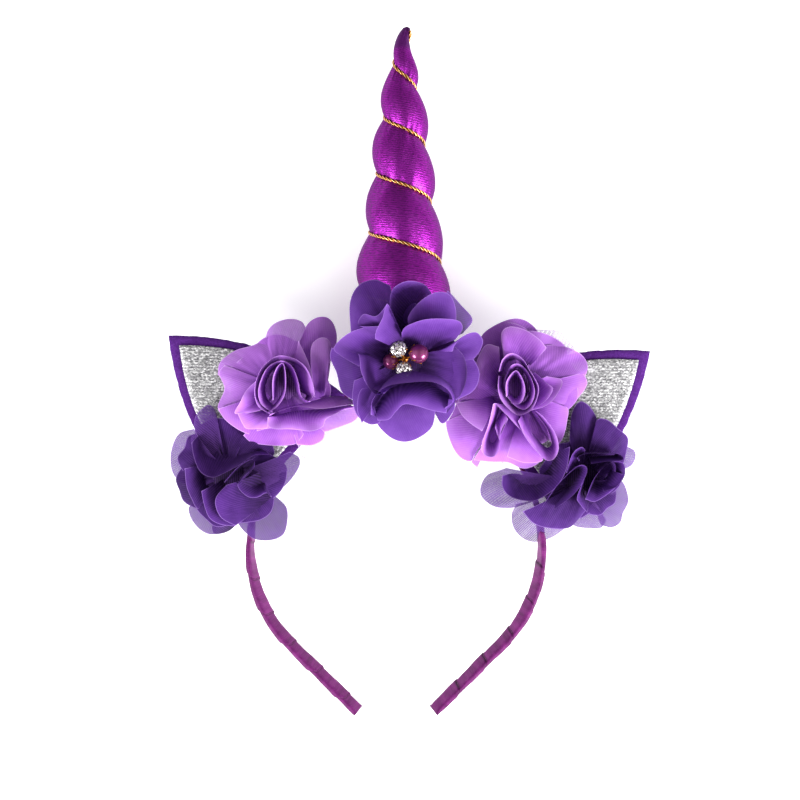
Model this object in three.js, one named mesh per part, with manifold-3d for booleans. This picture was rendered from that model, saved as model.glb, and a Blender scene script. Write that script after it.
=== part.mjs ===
// Unicorn horn headband, lying on its back on a flat surface with the flowers facing up.
// Units are millimetres. X runs across the band, Y from the band's tips to the tip of the horn, and Z up.
// The surface is z = 0, and the finished group is moved so that its box is centred on x = 0 and y = 0.
import * as THREE from 'three';
import { mergeVertices } from 'three/addons/utils/BufferGeometryUtils.js';
import Module from 'manifold-3d';

const wasm = await Module();
wasm.setup();

// Clearances
const seatGap = 0.3;            // between pieces that are glued together
const trimGap = 0.35;           // between the horn and what is pressed against its lobes
const petalGap = 0.5;           // between the petals of neighbouring flowers

// Headband: an arch, two round shoulders below it and two straight legs
const bandHalfWidth = 61.3;     // centre line, at the widest place
const archHeight = 68.5;        // from the widest place to the top
const shoulderRadius = 57.5;
const shoulderTurn = 45;        // degrees that the band turns inwards on each side
const legLength = 40.4;
const bandWidth = 7;            // front to back
const bandThickness = 2.6;
const bandCorner = 4;           // exponent of the rounded section
const legTwist = 32;            // degrees that each leg turns its inner face to the front
const ribbonPitch = 16;         // spacing of the ribbon's turns
const ribbonStep = 0.35;        // how far each turn stands over the one before
const bandSections = 64;
const bandSides = 8;

// Horn: a stuffed cone with a spiral groove
const hornLength = 152;
const hornRadius = 21;
const hornOffset = 2.7;         // to the right of the band's middle
const hornForward = 7.5;        // the horn's axis stands this far in front of the band's
const hornLean = 7;             // degrees that the horn leans back until it lies on the surface
const hornLift = 0.5;           // how far the horn's foot stands above the band's centre line
const hornFlat = 0.5;           // how far its lobes are flattened where they rest
const groovePitch = 28.6;         // at the foot of the horn
const grooveDepth = 3.1;
const grooveStart = 22;         // height at which the groove begins
const grooveTaper = 0.28;       // share by which the pitch shrinks up to the horn's tip
const groovePhase = 0.136;      // share of a turn by which the groove leads at the horn's front
const lobeSkew = 1.1;           // over 1, each lobe is fullest below its middle
const lobeFullness = 0.7;       // under 1, a lobe is rounder than a sine wave
const hornColumns = 18;
const hornRows = 6;             // rows of faces between two turns of the groove
const hornProfile = [           // shares of hornLength and hornRadius
  { height: 0, radius: 0.74 },
  { height: 0.03, radius: 0.9 },
  { height: 0.1, radius: 1 },
  { height: 0.2, radius: 1 },
  { height: 0.3, radius: 0.94 },
  { height: 0.4, radius: 0.83 },
  { height: 0.5, radius: 0.72 },
  { height: 0.6, radius: 0.64 },
  { height: 0.7, radius: 0.565 },
  { height: 0.8, radius: 0.445 },
  { height: 0.87, radius: 0.33 },
  { height: 0.92, radius: 0.21 },
  { height: 0.96, radius: 0.155 },
  { height: 0.985, radius: 0.09 },
  { height: 1, radius: 0 },
];
const hornBend = [              // sideways shift of the axis, in shares of hornRadius
  { height: 0, shift: 0 },
  { height: 0.3, shift: -0.02 },
  { height: 0.6, shift: -0.04 },
  { height: 0.85, shift: -0.02 },
  { height: 0.93, shift: -0.04 },
  { height: 0.97, shift: 0 },
  { height: 1, shift: 0.1 },
];

// Gold cord in the groove
const cordDiameter = 1.5;
const cordLift = 0.55;           // from the bottom of the groove
const cordSides = 5;
const cordStart = 28;           // height on the horn at which the cord begins
const cordEnd = 150;
const cordSteps = 15;           // faces along one turn

// Ears
const earHeight = 72;
const earWidth = 60;
const earTipAngle = 84;         // degrees between the two edges at the tip
const earBorder = 4;
const earCornerSteps = 7;
const feltThickness = 2;
const glitterThickness = 1;
const ears = [                  // foot in shares of bandHalfWidth and archHeight, and the way each tip points
  { side: 'left', x: -0.674, y: 0.619, turn: 48.5 },
  { side: 'right', x: 0.799, y: 0.587, turn: -53 },
];

// Flowers
const chiffonWall = 1;
const padThickness = 1.6;
const rootShare = 0.13;         // size of a petal's root, as a share of its rim
const petalStep = 0.006;        // rise from one petal to the next, as a share of the flower's radius
const lyingColumns = 5;         // faces across a petal that lies flat
const petalColumns = 6;         // and most of them across a folded one
const coreReach = 0.32;         // of the gathered core, as a share of the flower's radius
const coreRise = 0.18;
const centreFlowerRadius = 33;
const roseRadius = 28;
const sideFlowerRadius = 28;
const roseRise = 4;             // extra height of a rose's pad, over the ear
const flowerPadRadius = 10.5;
const centrePadDepth = 9;       // pad of the centre flower, hollowed to the horn

// Beads of the centre flower, with their places in shares of its radius
const pearlLargeRadius = 3.6;
const pearlSmallRadius = 3;
const crystalRadius = 3.1;
const wireRadius = 0.55;
const wireFootRadius = 2.4;
const wireFootThickness = 0.9;
const beads = [
  { name: 'pearl_large', radius: pearlLargeRadius, right: 0.175, up: 0.077, front: 0.36, cut: false },
  { name: 'pearl_small', radius: pearlSmallRadius, right: -0.18, up: -0.03, front: 0.28, cut: false },
  { name: 'crystal_upper', radius: crystalRadius, right: -0.08, up: 0.14, front: 0.4, cut: true },
  { name: 'crystal_lower', radius: crystalRadius, right: -0.01, up: -0.125, front: 0.37, cut: true },
];

const rad = THREE.MathUtils.degToRad;
const X = new THREE.Vector3(1, 0, 0);
const Y = new THREE.Vector3(0, 1, 0);
const Z = new THREE.Vector3(0, 0, 1);

// Materials
function finish(color, roughness, metalness = 0) {
  return new THREE.MeshStandardMaterial({ color, roughness, metalness });
}
const satin = finish(0x8a2a86, 0.42);
const lame = finish(0x7a1690, 0.32, 0.85);
const gold = finish(0xc89b3c, 0.35, 1);
const felt = finish(0x4d1f86, 0.95);
const glitter = finish(0xc4c4c0, 0.4, 0.6);
const darkChiffon = finish(0x43208a, 0.85);
const lilacChiffon = finish(0xa763cf, 0.85);
const pearl = finish(0x8b2d70, 0.22, 0.35);
const crystal = finish(0xd9d5dd, 0.1, 0.3);

// A closed geometry as a solid, and back
function solidOf(geometry) {
  const bare = geometry.clone();
  bare.deleteAttribute('normal');
  bare.deleteAttribute('uv');
  const merged = mergeVertices(bare, 1e-4);
  const triangles = [];
  const index = merged.index.array;
  for (let i = 0; i < index.length; i += 3) {
    const [a, b, c] = [index[i], index[i + 1], index[i + 2]];
    if (a !== b && b !== c && c !== a) triangles.push(a, b, c);
  }
  return new wasm.Manifold(new wasm.Mesh({
    numProp: 3,
    vertProperties: merged.attributes.position.array,
    triVerts: new Uint32Array(triangles),
  }));
}

function geometryOf(solid) {
  const mesh = solid.getMesh();
  const geometry = new THREE.BufferGeometry();
  geometry.setAttribute('position', new THREE.BufferAttribute(mesh.vertProperties, 3));
  geometry.setIndex(new THREE.BufferAttribute(mesh.triVerts, 1));
  const flat = geometry.toNonIndexed();
  flat.computeVertexNormals();
  return flat;
}

// The largest body of a solid that a cut has parted
function largestBody(solid) {
  return solid.decompose().reduce((best, part) => (part.volume() > best.volume() ? part : best));
}

function indexed(points, triangles) {
  const geometry = new THREE.BufferGeometry();
  geometry.setAttribute('position', new THREE.Float32BufferAttribute(points.flatMap((p) => p.toArray()), 3));
  geometry.setIndex(triangles);
  return geometry;
}

// A closed loft through rings of equally many points, with flat ends
function loft(rings) {
  const count = rings[0].length;
  const points = rings.flat();
  const triangles = [];
  for (let r = 0; r + 1 < rings.length; r++) {
    for (let i = 0; i < count; i++) {
      const a = r * count + i;
      const b = r * count + ((i + 1) % count);
      triangles.push(a, b, b + count, a, b + count, a + count);
    }
  }
  const last = (rings.length - 1) * count;
  for (let i = 1; i + 1 < count; i++) {
    triangles.push(0, i + 1, i, last, last + i, last + i + 1);
  }
  return indexed(points, triangles);
}

// Value of a column at a height, from a table whose first column rises
function lookUp(table, height, column) {
  const next = Math.max(1, table.findIndex((row) => row.height >= height));
  const [low, high] = [table[next - 1], table[next]];
  const share = (height - low.height) / (high.height - low.height);
  return THREE.MathUtils.lerp(low[column], high[column], THREE.MathUtils.clamp(share, 0, 1));
}

// Headband

function bandPath() {
  const inset = bandHalfWidth - shoulderRadius;
  const turn = rad(shoulderTurn);
  const kneeX = inset + shoulderRadius * Math.cos(turn);
  const kneeY = -shoulderRadius * Math.sin(turn);
  const tipX = kneeX - legLength * Math.sin(turn);
  const tipY = kneeY - legLength * Math.cos(turn);
  const path = new THREE.Path();
  path.moveTo(-tipX, tipY);
  path.lineTo(-kneeX, kneeY);
  path.absarc(-inset, 0, shoulderRadius, Math.PI + turn, Math.PI, true);
  path.absellipse(0, 0, bandHalfWidth, archHeight, Math.PI, 0, true);
  path.absarc(inset, 0, shoulderRadius, 0, -turn, true);
  path.lineTo(tipX, tipY);
  return path;
}

const bandLine = bandPath();
const bandTip = bandLine.getPoint(0);

function bandGeometry(grow = 0) {
  const length = bandLine.getLength();
  const rings = [];
  for (let s = 0; s <= bandSections; s++) {
    const along = s / bandSections;
    const point = bandLine.getPointAt(along);
    const tangent = bandLine.getTangentAt(along);
    const outward = new THREE.Vector3(-tangent.y, tangent.x, 0);
    const down = THREE.MathUtils.clamp(0.5 - 2 * point.y / archHeight, 0, 1);
    const twist = rad(legTwist) * down;
    const across = outward.clone().multiplyScalar(Math.cos(twist)).addScaledVector(Z, -Math.sin(twist));
    const front = outward.clone().multiplyScalar(Math.sin(twist)).addScaledVector(Z, Math.cos(twist));
    const ring = [];
    for (let k = 0; k < bandSides; k++) {
      const turn = 2 * Math.PI * (k + 0.5) / bandSides;
      const lap = (along * length / ribbonPitch + k / bandSides) % 1;
      const swell = grow + ribbonStep * (lap - 1);
      const round = (value) => Math.sign(value) * Math.abs(value) ** (2 / bandCorner);
      ring.push(new THREE.Vector3(point.x, point.y, 0)
        .addScaledVector(across, (bandThickness / 2 + swell) * round(Math.cos(turn)))
        .addScaledVector(front, (bandWidth / 2 + swell) * round(Math.sin(turn))));
    }
    rings.push(ring);
  }
  return loft(rings);
}

// Frames. The band's plane rises from its tips, which rest, to the horn's foot.

const leanCos = Math.cos(rad(hornLean));
const leanSin = Math.sin(rad(hornLean));
const hornAxisHeight = Math.max(...hornProfile.map((row) =>
  row.height * hornLength * leanSin + row.radius * hornRadius * leanCos)) - hornFlat;
const tipReach = bandThickness / 2 + (bandWidth / 2 - bandThickness / 2) * Math.cos(rad(legTwist));
const bandTilt = Math.asin((hornAxisHeight - hornForward - tipReach) / (archHeight - bandTip.y));

const bandFrame = new THREE.Group();
bandFrame.rotation.x = bandTilt;
bandFrame.position.z = tipReach - bandTip.y * Math.sin(bandTilt);
bandFrame.updateMatrixWorld();

const hornFrame = new THREE.Group();
hornFrame.rotation.x = -Math.PI / 2 - rad(hornLean);
hornFrame.position.set(hornOffset, archHeight * Math.cos(bandTilt) + hornLift, hornAxisHeight);
hornFrame.updateMatrixWorld();

// The surface that the headband lies on, as a plane in the frame of a group
function floorIn(frame, height) {
  return new THREE.Plane(Z.clone(), -height).applyMatrix4(frame.matrixWorld.clone().invert());
}

// Horn. Its own axis is +Z, and -Y is its front. Its angles run from the front to the left.

// Turns of the groove passed at a height. The pitch shrinks as the horn does.
function turnsAt(height) {
  const share = height / hornLength;
  return (height / groovePitch) * (1 + grooveTaper * share / 2);
}
function heightAt(turns) {
  const k = grooveTaper / (2 * hornLength);
  return (Math.sqrt(1 + 4 * k * turns * groovePitch) - 1) / (2 * k);
}

function hornPoint(turns, angle, extra) {
  const height = THREE.MathUtils.clamp(heightAt(Math.max(turns, 0)), 0, hornLength);
  const share = height / hornLength;
  const radius = lookUp(hornProfile, share, 'radius') * hornRadius;
  const lap = turns - angle / (2 * Math.PI) - groovePhase;
  const phase = 1 - (lap - Math.floor(lap));
  const bulge = Math.max(Math.sin(Math.PI * phase ** lobeSkew), 0) ** lobeFullness;
  const fade = THREE.MathUtils.smoothstep(height, grooveStart * 0.4, grooveStart * 1.3);
  const depth = grooveDepth * fade * Math.min(1, radius / (0.55 * hornRadius));
  const reach = Math.max(radius - depth * (1 - bulge) + extra * Math.sign(radius), 0);
  return new THREE.Vector3(
    lookUp(hornBend, share, 'shift') * hornRadius - reach * Math.sin(angle),
    -reach * Math.cos(angle),
    height,
  );
}

function hornGeometry(extra = 0) {
  const rowsUp = Math.ceil((turnsAt(hornLength) + 3) * hornRows);
  const points = [];
  const triangles = [];
  for (let c = 0; c < hornColumns; c++) {
    const angle = 2 * Math.PI * c / hornColumns;
    for (let r = 0; r <= rowsUp; r++) {
      const turns = r / hornRows - 2 + c / hornColumns + groovePhase % (1 / hornRows);
      points.push(hornPoint(turns, angle, extra));
    }
  }
  const at = (c, r) => {
    const wrapped = c === hornColumns;
    const row = wrapped ? r + hornRows : r;
    return (wrapped ? 0 : c) * (rowsUp + 1) + Math.min(row, rowsUp);
  };
  for (let c = 0; c < hornColumns; c++) {
    for (let r = 0; r < rowsUp; r++) {
      triangles.push(at(c, r), at(c + 1, r + 1), at(c + 1, r), at(c, r), at(c, r + 1), at(c + 1, r + 1));
    }
  }
  const foot = points.length;
  points.push(new THREE.Vector3(0, 0, 0));
  for (let c = 0; c < hornColumns; c++) {
    triangles.push(foot, at(c, 0), at(c + 1, 0));
  }
  return indexed(points, triangles);
}

function cordGeometry() {
  const rings = [];
  const first = Math.ceil(turnsAt(cordStart) * cordSteps);
  const last = Math.floor(turnsAt(cordEnd) * cordSteps);
  const centre = (step) => {
    const turns = step / cordSteps;
    const angle = 2 * Math.PI * (turns - groovePhase);
    return hornPoint(turns, angle, cordDiameter / 2 + cordLift);
  };
  for (let step = first; step <= last; step++) {
    const point = centre(step);
    const tangent = centre(step + 1).sub(centre(step - 1)).normalize();
    const outward = new THREE.Vector3(point.x, point.y, 0).normalize();
    const side = new THREE.Vector3().crossVectors(tangent, outward).normalize();
    outward.crossVectors(side, tangent);
    const ring = [];
    for (let k = 0; k < cordSides; k++) {
      const turn = 2 * Math.PI * k / cordSides;
      ring.push(point.clone()
        .addScaledVector(outward, Math.cos(turn) * cordDiameter / 2)
        .addScaledVector(side, Math.sin(turn) * cordDiameter / 2));
    }
    rings.push(ring);
  }
  return loft(rings);
}

// Ears

function earShape(inset) {
  const half = earWidth / 2 - inset;
  const tip = earHeight - inset / Math.sin(rad(earTipAngle / 2));
  const shoulder = tip - half / Math.tan(rad(earTipAngle / 2));
  const shape = new THREE.Shape();
  shape.moveTo(-half, inset);
  shape.lineTo(half, inset);
  shape.quadraticCurveTo(half, shoulder, 0, tip);
  shape.quadraticCurveTo(-half, shoulder, -half, inset);
  return shape;
}

function earGeometry(inset, thickness) {
  return new THREE.ExtrudeGeometry(earShape(inset), {
    depth: thickness,
    bevelEnabled: false,
    curveSegments: earCornerSteps,
  });
}

// Petals. A petal is a sheet between two curves, its root and its rim. Their points are [right, up, towards the
// viewer] in shares of the flower's radius, and belly is the sheet's swelling between them. A petal without a root
// of its own grows from the flower's middle.

function curvePoint(points, share) {
  const curve = new THREE.CatmullRomCurve3(points.map((p) => new THREE.Vector3(...p)), false, 'catmullrom', 0.5);
  return curve.getPoint(share);
}

function petalPoint(row, order, radius, u, v) {
  const share = (u + 1) / 2;
  const rim = curvePoint(row.rim, share);
  const root = row.root ? curvePoint(row.root, share) : rim.clone().multiplyScalar(rootShare).setZ(rootShare * 0.3);
  const point = root.lerp(rim, v);
  point.z += (row.belly ?? 0) * 4 * v * (1 - v) + order * petalStep;
  return point.multiplyScalar(radius);
}

// A closed wall around a surface given by u from -1 to 1 and v from 0 to 1, kept above a plane and grown all round
function wall(pointAt, across, along, grow, lowest) {
  const thickness = chiffonWall + 2 * grow;
  const step = 1e-3;
  const points = [];
  const count = across + 1;
  for (const face of [1, -1]) {
    for (let j = 0; j <= along; j++) {
      for (let i = 0; i <= across; i++) {
        const u = -1 + 2 * i / across;
        const v = j / along;
        const du = pointAt(Math.min(u + step, 1), v).sub(pointAt(Math.max(u - step, -1), v));
        const dv = pointAt(u, Math.min(v + step, 1)).sub(pointAt(u, Math.max(v - step, 0)));
        const point = pointAt(u, v);
        const sideways = i === 0 ? -grow : i === across ? grow : 0;
        const lengthways = j === 0 ? -grow : j === along ? grow : 0;
        point.addScaledVector(du.clone().normalize(), sideways).addScaledVector(dv.clone().normalize(), lengthways);
        const normal = dv.cross(du).normalize();
        if (lowest) point.addScaledVector(lowest.normal, Math.max(0, thickness / 2 - lowest.distanceToPoint(point)));
        if (lowest && lowest.distanceToPoint(point) < thickness) normal.lerp(lowest.normal, 1).normalize();
        points.push(point.addScaledVector(normal, face * thickness / 2));
      }
    }
  }
  const under = points.length / 2;
  const triangles = [];
  const quad = (a, b, c, d) => triangles.push(a, b, c, a, c, d);
  const at = (i, j) => j * count + i;
  for (let j = 0; j < along; j++) {
    for (let i = 0; i < across; i++) {
      quad(at(i, j), at(i, j + 1), at(i + 1, j + 1), at(i + 1, j));
      quad(under + at(i, j), under + at(i + 1, j), under + at(i + 1, j + 1), under + at(i, j + 1));
    }
  }
  for (let i = 0; i < across; i++) {
    quad(at(i, 0), at(i + 1, 0), under + at(i + 1, 0), under + at(i, 0));
    quad(at(i + 1, along), at(i, along), under + at(i, along), under + at(i + 1, along));
  }
  for (let j = 0; j < along; j++) {
    quad(at(0, j + 1), at(0, j), under + at(0, j), under + at(0, j + 1));
    quad(at(across, j), at(across, j + 1), under + at(across, j + 1), under + at(across, j));
  }
  return indexed(points, triangles);
}

// The pad that a flower is glued on by, and the gathered core that its petals are sewn to
function hubGeometry(flower, grow) {
  const profile = [
    [0, -(flower.padDepth ?? 0) - grow],
    [flowerPadRadius + grow, -(flower.padDepth ?? 0) - grow],
    [flowerPadRadius + grow, padThickness + grow],
    [coreReach * flower.radius + grow, padThickness + grow],
    [coreReach * flower.radius * 0.85 + grow, padThickness + coreRise * flower.radius * 0.6],
    [coreReach * flower.radius * 0.45, padThickness + coreRise * flower.radius + grow],
    [0, padThickness + coreRise * flower.radius + grow],
  ];
  const geometry = new THREE.LatheGeometry(profile.map(([x, y]) => new THREE.Vector2(x, y)), 12);
  return geometry.rotateX(Math.PI / 2);
}

// A flower is one body: petals sewn to a hub. Its own +Z faces the front, and its pad begins at z = 0.
function flowerSolid(flower, frame, grow = 0) {
  const place = flowerFrame(flower, frame);
  const lowest = floorIn(place, 0);
  const raise = new THREE.Matrix4().makeTranslation(0, 0, padThickness + 0.5);
  const lean = new THREE.Matrix4().makeRotationFromEuler(new THREE.Euler(rad(flower.pitch ?? 0), rad(flower.yaw ?? 0), 0));
  const seat = raise.multiply(lean);
  let solid = solidOf(hubGeometry(flower, grow));
  const add = (pointAt, across, along) => {
    const raised = (u, v) => pointAt(u, v).applyMatrix4(seat);
    solid = solid.add(solidOf(wall(raised, across, along, grow, lowest)));
  };
  flower.petals.forEach((row, order) => {
    const columns = row.root ? Math.min(row.rim.length, petalColumns) : lyingColumns;
    add((u, v) => petalPoint(row, order, flower.radius, u, v), columns, row.root ? 1 : 2);
  });
  return solid;
}

// Tables of petals, one row each, from the lowest to the topmost

const centrePetals = [
  { rim: [[-0.68, 0.31, 0.05], [-0.69, 0.69, 0.02], [-0.58, 0.91, 0], [-0.38, 0.98, 0], [-0.18, 0.91, 0.05]], belly: 0.1 },
  { rim: [[0.54, 0.85, 0], [0.7, 0.67, 0], [0.85, 0.48, 0.02], [0.73, 0.31, 0.08]], belly: 0.12 },
  { rim: [[0.69, 0.19, 0.12], [0.88, -0.04, 0.08], [0.94, -0.23, 0.05], [0.86, -0.42, 0.03],
          [0.64, -0.54, 0.05]], belly: 0.12 },
  { rim: [[0.39, -0.66, 0], [0.34, -0.88, -0.05], [0.18, -1.02, -0.08], [0.01, -1.08, -0.1],
          [-0.15, -1.04, -0.08], [-0.29, -0.92, -0.05], [-0.37, -0.8, 0]], belly: 0.12 },
  { rim: [[-0.32, -0.83, 0.02], [-0.45, -0.84, 0], [-0.6, -0.73, 0], [-0.66, -0.51, 0.03],
          [-0.64, -0.28, 0.08]], belly: 0.1 },
  { rim: [[-0.67, -0.53, 0.02], [-0.8, -0.42, 0], [-0.86, -0.19, 0], [-0.94, 0, 0], [-0.92, 0.13, 0.05]], belly: 0.1 },
  { root: [[-0.09, 0.19, 0.08], [-0.09, 0.31, 0.12], [0.03, 0.37, 0.1], [0.15, 0.31, 0.08]],
    rim: [[-0.18, 0.51, 0.42], [-0.19, 0.7, 0.4], [-0.16, 0.88, 0.32], [-0.04, 0.97, 0.26],
          [0.1, 0.99, 0.24], [0.25, 0.94, 0.22], [0.34, 0.83, 0.25]], belly: -0.12 },
  { root: [[-0.04, 0.19, 0.16], [0, 0.19, 0.14], [0.13, 0.1, 0.1], [0.29, 0.1, 0.12]],
    rim: [[-0.04, 0.37, 0.5], [0.02, 0.45, 0.52], [0.23, 0.53, 0.56], [0.48, 0.54, 0.52], [0.68, 0.5, 0.42],
          [0.72, 0.39, 0.36], [0.63, 0.25, 0.24]], belly: -0.04 },
  { root: [[-0.11, 0.15, 0.1], [-0.22, 0.1, 0.06], [-0.22, -0.01, 0.04]],
    rim: [[-0.2, 0.42, 0.34], [-0.51, 0.41, 0.3], [-0.73, 0.32, 0.26], [-0.89, 0.15, 0.2],
          [-0.8, 0.04, 0.16], [-0.58, -0.09, 0.14]], belly: 0.04 },
  { root: [[-0.01, 0.27, 0.2], [-0.01, 0.19, 0.16], [-0.09, 0.13, 0.12]],
    rim: [[-0.15, 0.61, 0.56], [-0.22, 0.73, 0.6], [-0.28, 0.56, 0.6], [-0.36, 0.39, 0.56],
          [-0.37, 0.29, 0.5]], belly: 0.05 },
  { root: [[-0.23, 0.01, 0.05], [-0.2, -0.13, 0.03], [-0.12, -0.19, 0.05]],
    rim: [[-0.69, 0.11, 0.3], [-0.58, 0.08, 0.36], [-0.55, -0.12, 0.4], [-0.47, -0.31, 0.38],
          [-0.36, -0.43, 0.34], [-0.23, -0.39, 0.3]], belly: -0.08 },
  { root: [[-0.29, -0.76, 0.1], [-0.42, -0.6, 0.12], [-0.32, -0.37, 0.2], [-0.15, -0.2, 0.28],
           [0.06, -0.13, 0.32], [0.38, -0.18, 0.28], [0.56, -0.31, 0.2], [0.64, -0.51, 0.12],
           [0.53, -0.68, 0.08]],
    rim: [[-0.43, -0.69, 0.2], [-0.4, -0.48, 0.36], [-0.23, -0.31, 0.5], [0.06, -0.25, 0.56],
          [0.34, -0.25, 0.52], [0.53, -0.35, 0.42], [0.6, -0.51, 0.28], [0.5, -0.61, 0.18]], fine: 1 },
];

const roseLeftPetals = [
  { rim: [[-0.23, 0.45, 0.1], [-0.23, 0.73, 0.05], [-0.15, 0.89, 0.02], [0.02, 0.98, 0], [0.22, 0.99, 0],
          [0.35, 0.9, 0.02], [0.38, 0.64, 0.08]], belly: 0.1 },
  { rim: [[0.31, 0.57, 0.06], [0.36, 0.87, 0.04], [0.51, 1.01, 0.02], [0.68, 1.02, 0], [0.79, 0.9, 0],
          [0.83, 0.68, 0], [0.76, 0.38, 0.05]], belly: 0.1 },
  { rim: [[-0.16, 0.73, 0.05], [-0.44, 0.6, 0.02], [-0.69, 0.52, 0], [-0.91, 0.35, 0], [-0.95, 0.15, 0]], belly: 0.1 },
  { rim: [[-0.85, 0.31, 0.02], [-0.93, 0.18, 0], [-0.85, -0.05, 0], [-0.95, -0.33, 0], [-0.8, -0.42, 0.02]], belly: 0.1 },
  { rim: [[-0.95, -0.35, 0.06], [-0.83, -0.52, 0.05], [-0.62, -0.67, 0.03], [-0.38, -0.75, 0.03],
          [-0.16, -0.7, 0.05]], belly: 0.08 },
  { rim: [[-0.57, -0.75, 0.02], [-0.44, -0.86, 0], [-0.16, -0.9, 0], [0.16, -0.89, 0], [0.31, -0.81, 0.04],
          [0.25, -0.67, 0.1]], belly: 0.1 },
  { rim: [[0.64, -0.7, 0], [0.85, -0.63, -0.02], [1.1, -0.53, -0.04], [1.17, -0.35, 0], [0.94, -0.28, 0.05]], belly: 0.08 },
  { root: [[-0.21, -0.01, 0.1], [-0.25, -0.14, 0.08], [-0.16, -0.24, 0.08]],
    rim: [[-0.34, 0.13, 0.36], [-0.51, -0.03, 0.34], [-0.62, -0.24, 0.3], [-0.69, -0.39, 0.28],
          [-0.51, -0.39, 0.28], [-0.32, -0.35, 0.3]], belly: 0.05 },
  { root: [[0.48, -0.18, 0.12], [0.57, -0.17, 0.1], [0.63, -0.14, 0.12]],
    rim: [[0.45, 0.18, 0.36], [0.45, 0.61, 0.34], [0.6, 0.75, 0.3], [0.74, 0.65, 0.26], [0.72, 0.22, 0.26],
          [0.65, -0.11, 0.28]], belly: 0.1 },
  { root: [[-0.21, -0.47, 0.25], [0.02, -0.31, 0.3], [0.39, -0.22, 0.32], [0.69, -0.14, 0.28],
           [0.94, -0.14, 0.2], [1.12, -0.24, 0.1]],
    rim: [[-0.16, -0.39, 0.34], [0, -0.33, 0.44], [0.25, -0.26, 0.5], [0.6, -0.3, 0.46], [0.9, -0.26, 0.36],
          [1.11, -0.26, 0.2]], fine: 1 },
  { root: [[-0.11, -0.33, 0.1], [-0.23, -0.21, 0.1], [-0.27, -0.01, 0.1], [-0.2, 0.22, 0.1],
           [-0.02, 0.37, 0.1], [0.16, 0.35, 0.1], [0.29, 0.22, 0.1], [0.36, 0.04, 0.1], [0.37, -0.14, 0.1],
           [0.32, -0.21, 0.1]],
    rim: [[-0.17, -0.38, 0.42], [-0.34, -0.25, 0.48], [-0.39, -0.01, 0.52], [-0.3, 0.29, 0.54],
          [-0.07, 0.49, 0.52], [0.17, 0.47, 0.5], [0.36, 0.34, 0.48], [0.46, 0.13, 0.44], [0.49, -0.1, 0.38],
          [0.39, -0.22, 0.3]], fine: 1 },
  { root: [[-0.1, -0.28, 0.12], [-0.21, -0.17, 0.12], [-0.23, 0.02, 0.12], [-0.14, 0.22, 0.12],
           [0, 0.34, 0.12], [0.11, 0.25, 0.12], [0.18, 0.06, 0.12], [0.25, -0.14, 0.12], [0.34, -0.24, 0.1]],
    rim: [[-0.13, -0.36, 0.4], [-0.3, -0.21, 0.48], [-0.33, 0.02, 0.52], [-0.21, 0.31, 0.55],
          [0, 0.43, 0.55], [0.17, 0.34, 0.52], [0.26, 0.11, 0.46], [0.31, -0.12, 0.4], [0.45, -0.21, 0.28]], fine: 1 },
  { root: [[-0.07, -0.14, 0.15], [-0.06, 0.11, 0.15], [-0.01, 0.25, 0.15], [0.02, 0.29, 0.15],
           [0.03, 0.15, 0.15], [0.02, -0.05, 0.15], [-0.06, -0.21, 0.15], [-0.16, -0.31, 0.15]],
    rim: [[-0.12, -0.17, 0.5], [-0.12, 0.15, 0.56], [-0.05, 0.34, 0.58], [0.04, 0.39, 0.58],
          [0.08, 0.18, 0.55], [0.06, -0.08, 0.5], [-0.05, -0.26, 0.46], [-0.2, -0.36, 0.42]], fine: 1 },
];

const roseLeftVeil = [
  { rim: [[0.25, -0.88, -0.04], [0.32, -1.1, -0.08], [0.62, -1.1, -0.1], [0.94, -0.93, -0.1],
          [1.19, -0.65, -0.1], [1.26, -0.51, -0.08], [1.08, -0.33, -0.04]], belly: 0.04 },
];

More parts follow.
